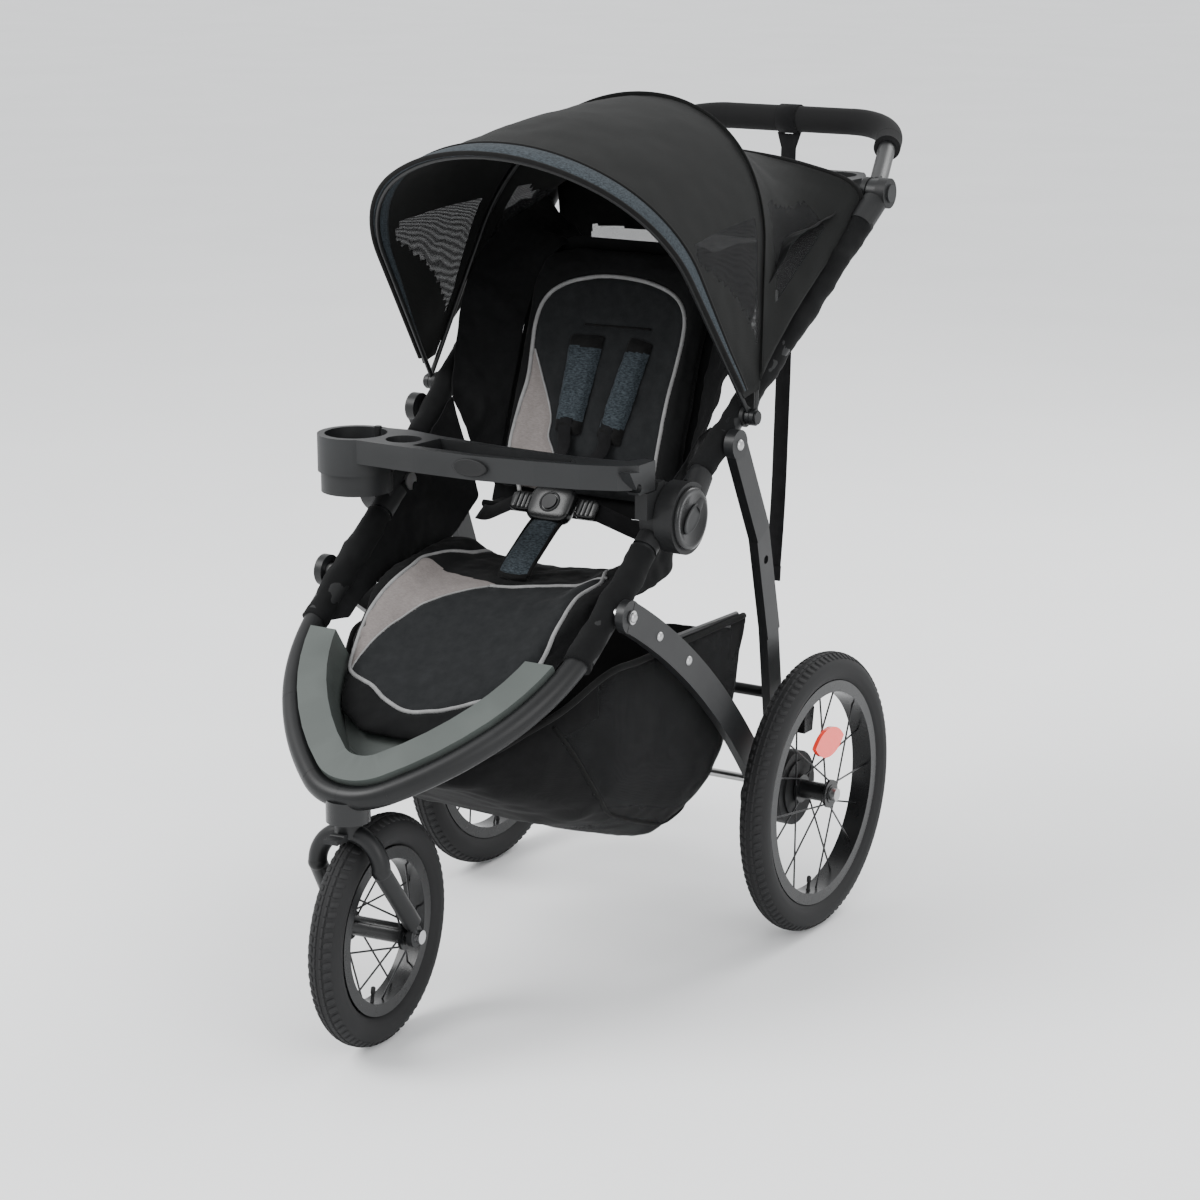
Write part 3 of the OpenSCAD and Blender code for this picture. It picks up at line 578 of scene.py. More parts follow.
# ---------------------------------------------------------------- tyres
def tyre(name, centre, right, radius, body, replaced, blocks):
    """centre in metres, right = the axle's direction."""
    right = Vector(right).normalized()
    up = Vector((0, 0, 1))
    fwd = right.cross(up).normalized()
    sec, ring = 0.0211, radius - 0.0225

    def at(theta, phi, h):
        d = fwd * math.cos(theta) + up * math.sin(theta)
        r = ring + (sec + h) * math.cos(phi)
        return Vector(centre) + d * r + right * ((sec + h) * math.sin(phi))

    rings = 120
    angles = [math.radians(a) for a in range(0, 360, 10)]
    rows = []
    for k in range(rings):
        th = 2 * math.pi * k / rings
        row = []
        for a in angles:
            deg = math.degrees(a)
            deg = deg - 360 if deg > 180 else deg
            h = 0.0006 if 58 <= abs(deg) <= 64 else 0
            h -= 0.0008 if abs(deg) in (90, 110) else 0
            row.append(at(th, a, h))
        rows.append(row)
    v, f = grid(rows, close_rows=True, close_cols=True)
    v, f = list(v), list(f)

    def block(th0, th1, ph0, ph1, h, skew=0.0, rounded=True):
        n = len(v)
        outline = []
        for k in range(10):
            a = 2 * math.pi * k / 10
            c, s = math.cos(a), math.sin(a)
            p = 0.55 if rounded else 0.25
            c = math.copysign(abs(c) ** p, c)
            s = math.copysign(abs(s) ** p, s)
            outline.append(((th0 + th1) / 2 + (th1 - th0) / 2 * c + skew * s, (ph0 + ph1) / 2 + (ph1 - ph0) / 2 * s))
        cm = ((th0 + th1) / 2, (ph0 + ph1) / 2)
        for t, p in outline:
            v.append(at(t, p, -0.0006))
        for t, p in outline:
            v.append(at(t, p, h * 0.7))
        for t, p in outline:
            v.append(at(cm[0] + (t - cm[0]) * 0.86, cm[1] + (p - cm[1]) * 0.86, h))
        for lvl in (0, 1):
            for k in range(10):
                a, b2 = n + lvl * 10 + k, n + lvl * 10 + (k + 1) % 10
                f.append((a, b2, b2 + 10, a + 10))
        f.append(tuple(n + 20 + k for k in range(10)))

    step = 2 * math.pi / blocks
    for k in range(blocks):
        t = k * step
        for sgn in (1, -1):
            t2 = t + (step / 2 if sgn < 0 else 0)
            lo, hi = (0.36, 0.86) if sgn > 0 else (-0.86, -0.36)
            block(t2, t2 + step * 0.62, lo, hi, 0.0015, skew=0.12 * step * sgn)
        for phi in (-0.19, 0.19):
            block(t, t + step * 0.93, phi - 0.075, phi + 0.075, 0.0013, rounded=False)
    o = piece(name, v, f, "rubber", body)
    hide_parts(replaced)
    return o


tyre("front_tyre_tread", steered(0, TRAIL, 151), steered(1, 0, 0) - steered(0, 0, 0), 0.151, "front_wheel",
     "front_tyre", 72)
tyre("left_tyre_tread", P(-HALF_TRACK, 0, AXLE_Z), (1, 0, 0), 0.199, "left_wheel", "left_tyre", 96)
tyre("right_tyre_tread", P(HALF_TRACK, 0, AXLE_Z), (1, 0, 0), 0.199, "right_wheel", "right_tyre", 96)

# Valves, axle nuts
for name, c, r, body, a in (("front", steered(0, TRAIL, 151), 0.106, "front_wheel", -100),
                            ("left", P(-HALF_TRACK, 0, AXLE_Z), 0.154, "left_wheel", -84),
                            ("right", P(HALF_TRACK, 0, AXLE_Z), 0.154, "right_wheel", -97)):
    d = Vector((0, math.cos(math.radians(a)), math.sin(math.radians(a))))
    revolve(f"{name}_valve", [(0, 0), (0, 0.0032), (-0.012, 0.0032), (-0.013, 0.0024), (-0.022, 0.0024),
                              (-0.0225, 0.0032), (-0.030, 0.0032), (-0.0315, 0.0015), (-0.0315, 0)],
            c + d * r, d, "rubber", body, 12)
for s, body in ((-1, "left_wheel"), (1, "right_wheel")):
    revolve(f"{body}_axle_cap", [(0.0, 0), (0.0, 0.0075), (0.004, 0.0078), (0.008, 0.006), (0.0098, 0.003),
                                 (0.010, 0)], P(s * 296, 0, AXLE_Z), (s, 0, 0), "chrome", body, 24)


# ---------------------------------------------------------------- seat cushion
PROFILE = [(-240, 553), (-300, 551), (-350, 547), (-400, 540), (-430, 531), (-465, 513), (-500, 490),
           (-550, 455), (-594, 423), (-628, 396)]
HALF = [(-634, 34), (-628, 62), (-612, 98), (-590, 122), (-570, 134), (-545, 145), (-520, 156), (-480, 168),
        (-440, 176), (-240, 177)]


def top_z(y):
    return interp([(a, b) for a, b in reversed(PROFILE)], y)


def loft_cushion():
    line = resample([(0, y, z) for y, z in PROFILE], 12)
    rows = []
    n = len(line)
    for i, p in enumerate(line):
        a, c = line[max(0, i - 1)], line[min(n - 1, i + 1)]
        t = (c - a).normalized()
        nrm = Vector((0, t.z, -t.y))
        w = interp(HALF, p.y)
        end = min(1.0, (min(i, n - 1 - i) + 0.35) / 1.6)
        th = 9.0 * end
        row = []
        for k in range(40):
            a2 = 2 * math.pi * k / 40
            c2, s2 = math.cos(a2), math.sin(a2)
            x = w * (0.97 if end < 1 else 1) * math.copysign(abs(c2) ** 0.28, c2)
            h = th * math.copysign(abs(s2) ** 0.7, s2)
            q = p + nrm * (h - 12.5)
            row.append(P(x, q.y, q.z))
        rows.append(row)
    return grid(rows, close_cols=True, caps=True)


CUSHION_PIPING = [(0, -596), (40, -588), (75, -572), (105, -562), (130, -545), (141, -505), (141, -460),
                  (137, -430), (135, -405), (140, -363), (125, -325), (105, -285), (100, -250)]
CUSHION_INNER = [(-125, -552), (-110, -510), (-95, -470), (-66, -430), (-20, -378)]
CUSHION_CROSS = [(-20, -378), (40, -362), (90, -350), (138, -340)]
v, f = loft_cushion()
cushion = piece("seat_cushion_padded", v, f, ["black", "insert", "taupe"])
inflate(cushion, 0.005, 4.0, 0.007)
for vert, normal in zip(cushion.data.vertices, [v.normal.copy() for v in cushion.data.vertices]):
    x, y = abs(vert.co.x * 1000), vert.co.y * 1000 - MID_TO_AXLE
    k = max(0.0, min(1.0, (x - 92) / 40))
    k = k * k * (3 - 2 * k)
    front = max(0.0, min(1.0, (y + 560) / 60))
    if normal.z > 0:
        vert.co.z += 0.013 * k * front * normal.z
        vert.co.z -= 0.006 * (1 - k) * math.cos(min(1, x / 110) * math.pi / 2) * front
cushion.data.update()
loop_xy = [(-x, y) for x, y in reversed(CUSHION_PIPING[1:])] + CUSHION_PIPING
down = Vector((0, 0, -1))
lines = [resample([P(x, y, top_z(y)) for x, y in loop_xy], 0.006),
         resample([P(x, y, top_z(y)) for x, y in CUSHION_INNER], 0.006),
         resample([P(x, y, top_z(y)) for x, y in CUSHION_CROSS], 0.006)]
bvh = tree(cushion)
lines = [dropped(bvh, l, down) for l in lines]
seam(cushion, lines, 0.006, 0.0035, down)
wrinkle(cushion, 0.0022, 24, 3.1)


def cushion_zone(c, n):
    x, y = c.x * 1000, c.y * 1000 - MID_TO_AXLE
    if n.z < 0.1 or not inside(x, y, loop_xy):
        return 0
    edge = interp([(-630, -128), (-552, -125), (-470, -95), (-430, -66), (-378, -20), (-360, 0)], y)
    if x < edge and y < -372:
        return 2
    if x < -20 and y < -372 + (x + 20) * -0.05 and x < edge:
        return 2
    cross = interp([(-141, -378), (-20, -378), (40, -362), (90, -350), (138, -340)], x)
    return 1 if y < cross else 0


zone(cushion, cushion_zone)
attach(cushion, "front_frame")
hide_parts("seat_cushion")
bvh = tree(cushion)
for i, (l, r) in enumerate(zip(lines, (0.0030, 0.0014, 0.0028))):
    sweep(f"seat_cushion_piping_{i}", dropped(bvh, l, down, 0.0008), circle(r, 8),
          "piping", "front_frame")

# ---------------------------------------------------------------- seat back
BACK_PIPING = [(-100, -192), (-127, -134), (-123, -84), (-117, -34), (-119, 23), (-120, 58), (-112, 83), (-89, 105),
               (-35, 120), (30, 119), (80, 106), (106, 86), (116, 64), (115, 22), (110, -27), (107, -82),
               (109, -137), (107, -158), (100, -192)]
BACK_INNER = [(-114, 9), (-99, -25), (-72, -83), (-73, -110), (-57, -132), (-48, -185)]


def back_pad():
    rows = []
    for i in range(25):
        t = -192 + 362 * i / 24
        w = 146
        if t > 100:
            w = 76 + math.sqrt(max(0, 70 ** 2 - (t - 100) ** 2))
        end = min(1.0, (min(i, 24 - i) + 0.3) / 1.5)
        row = []
        for k in range(40):
            a = 2 * math.pi * k / 40
            c, s = math.cos(a), math.sin(a)
            row.append(B(w * math.copysign(abs(c) ** 0.25, c), t,
                         -12 + 8.0 * end * math.copysign(abs(s) ** 0.7, s)))
        rows.append(row)
    return grid(rows, close_cols=True, caps=True)


v, f = back_pad()
back = piece("seat_back_padded", v, f, ["black", "insert", "taupe"])
inflate(back, 0.005, 4.0, 0.007)
into = B(0, 0, -1) - B(0, 0, 0)
lines_b = [resample([B(x, t, 0) for x, t in BACK_PIPING], 0.006),
           resample([B(x, t, 0) for x, t in BACK_INNER], 0.006),
           resample([B(x, 52 + 0.02 * x, 0) for x in range(-46, 61, 15)], 0.006)]
for vert, normal in zip(back.data.vertices, [v.normal.copy() for v in back.data.vertices]):
    if normal.dot(into) < 0:
        x = vert.co.x * 1000
        k = max(0.0, min(1.0, (abs(x) - 85) / 40))
        vert.co -= into.normalized() * (0.010 * k * k * (3 - 2 * k) - 0.002)
back.data.update()
bvh = tree(back)
lines_b = [dropped(bvh, l, into) for l in lines_b]
seam(back, lines_b, 0.006, 0.0035, into)
wrinkle(back, 0.002, 22, 9.4)


def back_xt(c):
    r = c - B(0, 0, 0)
    up = B(0, 1, 0) - B(0, 0, 0)
    return c.x * 1000, r.dot(up.normalized()) * 1000


def back_zone(c, n):
    x, t = back_xt(c)
    if n.dot(into) > -0.3 * into.length or not inside(x, t, BACK_PIPING):
        return 0
    edge = interp([(-192, -46), (-132, -57), (-110, -73), (-83, -72), (-25, -99), (9, -114), (30, -140)], t)
    return 2 if x < edge else 1


zone(back, back_zone)
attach(back, "seat_back")
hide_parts("seat_back_pad")
bvh_back = tree(back)
for i, (l, r) in enumerate(zip(lines_b, (0.0030, 0.0014, 0.0016))):
    sweep(f"seat_back_piping_{i}", dropped(bvh_back, l, into, 0.0008), circle(r, 8),
          "piping" if i < 2 else "piping_black", "seat_back")


def shoulder_pad(name, tl, tr, bl, br):
    rows = []
    N, K = 34, 15
    for i in range(N):
        v = i / (N - 1)
        loop = []
        for side in (1, -1):
            for k in range(K):
                u = k / (K - 1)
                u = u if side > 0 else 1 - u
                x = (bl[0] * (1 - u) + br[0] * u) * (1 - v) + (tl[0] * (1 - u) + tr[0] * u) * v
                t = (bl[1] * (1 - u) + br[1] * u) * (1 - v) + (tl[1] * (1 - u) + tr[1] * u) * v
                e = (1 - abs(2 * u - 1) ** 5) * (1 - abs(2 * v - 1) ** 12)
                g = 1 - 0.5 * (math.exp(-((v - 0.13) / 0.02) ** 2) + math.exp(-((v - 0.87) / 0.02) ** 2))
                loop.append(B(x, t, 3 + (11 * e * g if side > 0 else -4 * e)))
        rows.append(loop)
    vv, ff = grid(rows, close_cols=True, caps=True)
    o = piece(name, vv, ff, ["pad", "piping_black"], "seat_back")
    modify(o, "SUBSURF", levels=1, render_levels=1)
    apply_all(o)
    lo, hi = (bl[1] + br[1]) / 2, (tl[1] + tr[1]) / 2
    zone(o, lambda c, n: 1 if not lo + 0.13 * (hi - lo) < back_xt(c)[1] < lo + 0.87 * (hi - lo) else 0)
    wrinkle(o, 0.0012, 60, tl[0])
    return o


left_pad = shoulder_pad("shoulder_pad_left", (-62, 36), (-7, 38), (-61, -101), (-20, -104))
right_pad = shoulder_pad("shoulder_pad_right", (33, 40), (70, 33), (6, -103), (46, -114))
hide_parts("shoulder_pads")
for s, x0, x1 in (("left", -40, -16), ("right", 26, 16)):
    pts = resample([B(x0, -60, 10), B(x0, -100, 11), B(x0 * 0.9 + x1 * 0.1, -120, 9), P((x0 + x1) / 2, -205, 668),
                    P(x1, -244, 650)], 0.008)
    sweep(f"harness_web_{s}", pts, flat(0.020, 0.0016), "webbing", "seat_back",
          up=Vector((0, -0.94, 0.34)))

# ---------------------------------------------------------------- harness buckle, crotch pad, waist webbing
BK = P(0, -256, 628)
BUCKLE_SLOPE = math.radians(50)
bk_up = Vector((0, math.cos(BUCKLE_SLOPE), math.sin(BUCKLE_SLOPE)))
bk_out = Vector((0, -math.sin(BUCKLE_SLOPE), math.cos(BUCKLE_SLOPE)))


def slab(name, centre, ax, ay, az, sx, sy, sz, material, body, power=0.35, n=28):
    """Rounded slab: half sizes sx, sy across ax, ay and sz along az."""
    rows = []
    for lvl, (h, k) in enumerate(((-1, 0.86), (-0.8, 0.97), (-0.4, 1), (0.4, 1), (0.8, 0.97), (1, 0.86), (1, 0.5),
                                  (1.02, 0.02))):
        row = []
        for j in range(n):
            a = 2 * math.pi * j / n
            c, s = math.cos(a), math.sin(a)
            row.append(centre + ax * (sx * k * math.copysign(abs(c) ** power, c))
                       + ay * (sy * k * math.copysign(abs(s) ** power, s)) + az * (sz * h))
        rows.append(row)
    vv, ff = grid(rows, close_cols=True, caps=True)
    return piece(name, vv, ff, material, body)


X = Vector((1, 0, 0))
buckle = slab("harness_buckle_body", BK, X, bk_up, bk_out, 0.034, 0.027, 0.0088, "gloss", "front_frame",
              power=0.5)
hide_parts("harness_buckle")
revolve("harness_buckle_ring", [(0.008, 0.0125), (0.0102, 0.0125), (0.0106, 0.0135), (0.0102, 0.0150),
                                (0.008, 0.0155)], BK, bk_out, "plastic2", "front_frame", 36)
for s in (-1, 1):
    slab(f"waist_adjuster_{side_name(s)}", P(s * 52, -250, 626), X, bk_up, bk_out, 0.016, 0.014,
         0.0045, "gloss", "front_frame", power=0.4)
    for k in range(3):
        slab(f"waist_adjuster_bar_{side_name(s)}_{k}", P(s * (44 + 7 * k), -250, 626) + bk_out * 0.005,
             X, bk_up, bk_out, 0.0016, 0.0115, 0.0014, "plastic2", "front_frame", power=0.4, n=16)
    pts = resample([P(s * 60, -250, 626), P(s * 90, -238, 612), P(s * 125, -222, 596), P(s * 150, -208, 592)], 0.01)
    sweep(f"waist_web_{side_name(s)}", pts, flat(0.024, 0.0016), "webbing", "front_frame",
          up=bk_out)
cr = resample([P(0, -262, 612), P(0, -285, 600), P(0, -320, 577), P(0, -345, 560), P(0, -352, 551)], 0.006)
cr_up = Vector((0, -0.62, 0.78))
crotch = sweep("crotch_pad", cr, lambda t: [(x * (1 - 0.25 * (1 - t) ** 3), y) for x, y in
                                            [(-0.021, -0.003), (0, -0.004), (0.021, -0.003), (0.0235, 0), (0.021, 0.0035),
                                             (0.010, 0.0052), (0, 0.0056), (-0.010, 0.0052), (-0.021, 0.0035),
                                             (-0.0235, 0)]], "pad", "front_frame", up=cr_up)
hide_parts("crotch_strap")
for s in (-1, 1):
    sweep(f"crotch_edge_{side_name(s)}", [p + X * s * 0.0225 for p in cr], circle(0.0028, 8),
          "piping_black", "front_frame")
sweep("crotch_end", [P(-22, -353, 551), P(0, -356, 549), P(22, -353, 551)], circle(0.0045, 8), "piping_black",
      "front_frame")


# ---------------------------------------------------------------- basket
def basket_section(y):
    w = interp([(-606, 38), (-596, 66), (-580, 97), (-560, 117), (-520, 158), (-480, 184), (-430, 203), (-380, 208),
                (-100, 210)], y)
    top = interp([(-606, 350), (-560, 388), (-500, 428), (-455, 458), (-425, 469), (-96, 468)], y)
    bot = interp([(-606, 345), (-590, 331), (-560, 318), (-500, 284), (-433, 244), (-393, 230), (-330, 204),
                  (-280, 184), (-244, 172), (-200, 176), (-160, 192), (-132, 232), (-112, 296), (-100, 440)], y)
    return w, top, bot


rows = []
ys = [-606, -602, -598, -592, -586] + list(range(-580, -112, 6)) + [-110, -107, -104, -102, -100, -99]
for y in ys:
    w, top, bot = basket_section(y)
    row = []
    for k in range(97):
        a = math.pi * k / 96
        c, s = math.cos(a), math.sin(a)
        x = -w * math.copysign(abs(c) ** 0.42, c)
        z = top - (top - bot) * abs(s) ** 0.42
        side_in = 1 - 0.05 * (s ** 2)
        row.append(P(x * side_in, y, z))
    rows.append(row)
v, f = grid(rows)
basket = piece("basket_bag", v, f, ["basketcloth", "mesh", "black"])
wrinkle(basket, 0.0035, 11, 5.0)
wrinkle(basket, 0.0012, 36, 8.0)
MESH_LOW = [(-536, 448), (-505, 397), (-481, 358), (-445, 303), (-400, 262), (-330, 232), (-251, 202), (-150, 214),
            (-120, 290)]
MESH_SIDE = MESH_LOW + [(-110, 440), (-300, 440), (-430, 446), (-500, 420)]


def basket_zone(c, n):
    y, z = c.y * 1000 - MID_TO_AXLE, c.z * 1000
    w, top, _ = basket_section(y)
    if abs(c.x * 1000) > 0.88 * w and inside(y, z, MESH_SIDE) and z < top - 24:
        return 1
    if abs(c.x * 1000) < 0.82 * w and -380 < y < -160 and n.z < -0.6:
        return 1
    return 0


zone(basket, basket_zone)
modify(basket, "SOLIDIFY", thickness=0.0014, offset=0)
apply_all(basket)
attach(basket, "front_frame")
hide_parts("basket")
bb = tree(basket)
basket_soft = [basket]
for s in (-1, 1):
    tag = side_name(s)
    edge = resample([P(s * basket_section(y)[0], y, basket_section(y)[1]) for y in
                     (-600, -570, -540, -500, -455, -425, -380, -300, -200, -100)], 0.01)
    basket_soft.append(sweep(f"basket_hem_{tag}", edge, circle(0.0045, 8), "piping_black", "front_frame"))
    low = [P(s * 270, y, interp(MESH_LOW, y)) for y in range(-536, -119, 12)]
    low = [p for p in low if bb.ray_cast(p, Vector((-s, 0, 0)))[0] is not None]
    low = dropped(bb, low, (-s, 0, 0), 0.0012)
    basket_soft.append(sweep(f"basket_seam_{tag}", low, circle(0.0026, 8), "piping_black", "front_frame"))


# ---------------------------------------------------------------- canopy
def bow_points(bow, count, d=0.0, cut=0.0):
    """(x, r) pairs from the left pivot over the top to the right one, evenly spaced, d outside."""
    x, r, h = 0.0, bow["reach"], 0.0
    pts = []
    for rad, val in bow["steps"]:
        if rad == 0:
            n = max(1, int(val / 4))
            for _ in range(n):
                pts.append((x + d * math.sin(h), r + d * math.cos(h)))
                x += val / n * math.cos(h)
                r -= val / n * math.sin(h)
        else:
            n = int(val / 2)
            for _ in range(n):
                pts.append((x + d * math.sin(h), r + d * math.cos(h)))
                a = math.radians(val / n)
                x += rad * (math.sin(h + a) - math.sin(h))
                r += rad * (math.cos(h + a) - math.cos(h))
                h += a
    pts.append((x + d * math.sin(h), r + d * math.cos(h)))
    half = [Vector((a, b, 0)) for a, b in pts if b > cut]
    full = [Vector((-p.x, p.y, 0)) for p in reversed(half[1:])] + half
    lens = [0.0]
    for a, b in zip(full[:-1], full[1:]):
        lens.append(lens[-1] + (b - a).length)
    out = []
    for k in range(count):
        s = lens[-1] * k / (count - 1)
        i = max(j for j in range(len(lens)) if lens[j] <= s + 1e-9)
        i = min(i, len(full) - 2)
        u = (s - lens[i]) / max(1e-9, lens[i + 1] - lens[i])
        out.append(full[i].lerp(full[i + 1], u))
    return out


def bow_at(p, degrees):
    a = math.radians(degrees)
    return P(p.x, CANOPY_AT[0] + p.y * math.cos(a), CANOPY_AT[1] + p.y * math.sin(a))


def weights(o, a, b, pick):
    """Blends o between bodies a and b with a share for each point."""
    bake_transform(o, a, b, start=tuple(P(0, CANOPY_AT[0], CANOPY_AT[1])), end=tuple(P(0, CANOPY_AT[0] - 300, 1000)))
    at = o.data.attributes["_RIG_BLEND"]
    at.data.foreach_set("value", [float(pick(v.co)) for v in o.data.vertices])


def canopy_angle(c):
    y, z = c.y * 1000 - MID_TO_AXLE - CANOPY_AT[0], c.z * 1000 - CANOPY_AT[1]
    return math.degrees(math.atan2(z, y))


def cover_share(c):
    k = (canopy_angle(c) - MIDBOW["angle"]) / (VISOR["angle"] - MIDBOW["angle"])
    return min(1, max(0.31, 0.31 + 0.69 * k))


COLS = 97
mid_line = [bow_at(p, MIDBOW["angle"]) for p in bow_points(MIDBOW, COLS, 5.0, 34)]
vis_line = [bow_at(p, VISOR["angle"]) for p in bow_points(VISOR, COLS, 5.0, 34)]
pivot = P(0, *CANOPY_AT)


def cover_point(k, t, sag=9.0):
    a, b = mid_line[k], vis_line[k]
    p = a.lerp(b, t)
    up = Vector((0, p.y - pivot.y, p.z - pivot.z))
    r = up.length
    if r > 1e-6:
        ra, rb = (Vector((0, q.y - pivot.y, q.z - pivot.z)).length for q in (a, b))
        want = ra + (rb - ra) * t
        bulge = (want - r) * 0.35
        p = p + up.normalized() * (bulge - sag / 1000 * math.sin(math.pi * t) * min(1, r / 0.3))
    return p


COVER_ROWS = 30
rows = [[cover_point(k, i / COVER_ROWS) for k in range(COLS)] for i in range(COVER_ROWS + 1)]
v, f = grid(rows)
cover = piece("canopy_main_cloth", v, f, ["canopy", "mesh", "black"])
wrinkle(cover, 0.0022, 9, 2.0, lambda c: min(1, abs(canopy_angle(c) - MIDBOW["angle"]) / 8))
wrinkle(cover, 0.0007, 40, 1.0)
for i, p in enumerate(cover.data.polygons):
    r_i, c_i = divmod(i, COLS - 1)
    t, s = (r_i + 0.5) / COVER_ROWS, (c_i + 0.5) / (COLS - 1)
    side = min(s, 1 - s)
    tri = (0.055 < side < 0.23 and 0.10 < t < 0.84 and side > 0.055 + 0.20 * (t - 0.10)
           and (side - 0.06) < 0.19 * (1.1 - 0.3 * t))
    p.material_index = 1 if tri else 0
modify(cover, "SOLIDIFY", thickness=0.0012, offset=0)
apply_all(cover)
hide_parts("canopy_cover")
weights(cover, "upper_frame", "canopy_visor", cover_share)

# Rear part, from the middle bow to the arch in front of the parent tray
ARCH_Y = 148
HALF_ARCH = [(0, 1072), (110, 1064), (180, 1052), (225, 1040), (247, 1024), (250, 1006)]
ARCH = [(-x, z) for x, z in HALF_ARCH[:0:-1]] + HALF_ARCH
arch_full = resample([P(x, ARCH_Y, z) for x, z in ARCH], 0.004)
arch_line = [arch_full[int(round(k * (len(arch_full) - 1) / (COLS - 1)))] for k in range(COLS)]


def rear_point(k, t):
    a, b = mid_line[k], arch_line[k]
    p = a.lerp(b, t)
    s = abs(2 * k / (COLS - 1) - 1)
    p.z -= 0.012 * math.sin(math.pi * t) * (1 - s ** 4)
    if s > 0.6:
        p.z += 0.016 * ((s - 0.6) / 0.4) * math.sin(math.pi * min(1, t + 0.25))
    return p


REAR_ROWS = 24
v, f = grid([[rear_point(k, i / REAR_ROWS) for k in range(COLS)] for i in range(REAR_ROWS + 1)])
rear = piece("canopy_rear_cloth", v, f, ["canopy", "mesh"])
wrinkle(rear, 0.0028, 10, 6.0)
for i, p in enumerate(rear.data.polygons):
    r_i, c_i = divmod(i, COLS - 1)
    t, s = (r_i + 0.5) / REAR_ROWS, (c_i + 0.5) / (COLS - 1)
    side = min(s, 1 - s)
    if 0.07 < side < 0.24 and 0.16 < t < 0.70 and (side - 0.07) < 0.17 * (1.25 - t):
        p.material_index = 1
    else:
        p.material_index = 0
modify(rear, "SOLIDIFY", thickness=0.0012, offset=0)
apply_all(rear)
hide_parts("canopy_rear_panel")


def rear_share(c):
    return min(1, max(0, (canopy_angle(c) - 43.5) / (MIDBOW["angle"] - 43.5)))


weights(rear, "upper_frame", "canopy_mid", rear_share)


# Front binding: heathered strip with black piping on both edges
def binding(u, lift):
    """u from 0 at the front edge to 1 at the strip's rear edge."""
    out = []
    for k in range(COLS):
        s = abs(2 * k / (COLS - 1) - 1)
        width = 0.115 if s < 0.86 else 0.115 + 0.05 * (s - 0.86) / 0.14
        p = cover_point(k, 1.012 - width * u, 9.0)
        d = Vector((p.x * 0.55, p.y - pivot.y, p.z - pivot.z))
        out.append(p + d.normalized() * lift)
    return out


cols = range(1, COLS - 1)
outer = [[binding(u / 6, 0.0032 + 0.0016 * math.sin(math.pi * u / 6))[k] for k in cols] for u in range(7)]
inner = [[binding(u / 6, -0.0028)[k] for k in cols] for u in range(7)]
v, f = grid(outer + inner[::-1], close_rows=True)
piece("canopy_front_binding", v, f, "pad", "canopy_visor")
for i, u in enumerate((0, 1)):
    sweep(f"canopy_front_piping_{i}", [binding(u, 0.002)[k] for k in cols], circle(0.0032, 8), "piping_black",
          "canopy_visor")
seam_mid = [mid_line[k] + (mid_line[k] - pivot - Vector((mid_line[k].x * 0.5, 0, 0))).normalized() * 0.001
            for k in range(2, COLS - 2)]
sweep("canopy_mid_seam", seam_mid, flat(0.012, 0.0016), "canopy", "canopy_mid")
sweep("canopy_rear_hem", arch_line, circle(0.0036, 8), "piping_black", "upper_frame")

# ---------------------------------------------------------------- side cloths


def ruled(name, line_a, line_b, material, n=24, m=14, ruffle=0.004, seed=0.0):
    a = resample(line_a, 0.004)
    b = resample(line_b, 0.004)
    rows = []
    for i in range(m + 1):
        t = i / m
        row = []
        for j in range(n + 1):
            pa = a[int(round(j * (len(a) - 1) / n))]
            pb = b[int(round(j * (len(b) - 1) / n))]
            row.append(pa.lerp(pb, t))
        rows.append(row)
    v, f = grid(rows)
    o = piece(name, v, f, material)
    modify(o, "SUBSURF", levels=2, render_levels=2)
    apply_all(o)
    wrinkle(o, ruffle, 16, seed)
    modify(o, "SOLIDIFY", thickness=0.0014, offset=0)
    apply_all(o)
    for p in o.data.polygons:
        p.use_smooth = True
    return o


skirts, panels = [], []
for s in (-1, 1):
    tag = side_name(s)
    o = ruled(f"side_skirt_{tag}",
              [P(s * 192, -516, 498), P(s * 197, -440, 562), P(s * 197, -372, 614), P(s * 194, -312, 664),
               P(s * 203, -240, 714), P(s * 206, -190, 748)],
              [P(s * 172, -486, 500), P(s * 176, -440, 524), P(s * 178, -370, 542), P(s * 179, -300, 549),
               P(s * 178, -240, 560), P(s * 158, -196, 610)], "black", n=30, ruffle=0.006, seed=4 + s)
    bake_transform(o, "front_frame", "upper_frame", start=tuple(P(0, -335, 600)), end=tuple(P(0, -235, 690)))
    skirts.append(o)
    q = ruled(f"back_side_cloth_{tag}",
              [B(s * 150, -188, -14), B(s * 150, -100, -12), B(s * 150, 0, -12), B(s * 148, 90, -14),
               B(s * 112, 160, -14), P(s * 120, 40, 930)],
              [P(s * 204, -196, 744), P(s * 208, -186, 762), P(s * 218, -160, 820), P(s * 232, -110, 900),
               P(s * 240, -20, 975), P(s * 240, 100, 1000)], "black", n=34, ruffle=0.007, seed=7 + s)
    weights(q, "upper_frame", "seat_back", lambda c: min(1, max(0, (225 - abs(c.x) * 1000) / 75)))
    panels.append(q)
    # Cloth wrapped round the tubes
    for part, body, a, b, n, r, depth, scale, seed in (
            ("upper", "upper_frame", P(s * 224, -250, 697.5), P(s * 259.5, 132, 983.5), 60, 0.0168, 0.0035, 26, 2.0),
            ("lower", "front_frame", P(s * 205.6, -520, 497), P(s * 207, -366, 611), 30, 0.0185, 0.004, 24, 5.0)):
        w = sweep(f"{part}_tube_cloth_{tag}", [a.lerp(b, k / n) for k in range(n + 1)], circle(r, 28), "black", body)
        wrinkle(w, depth, scale, seed * s)
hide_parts("side_skirts")
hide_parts("back_side_panels")
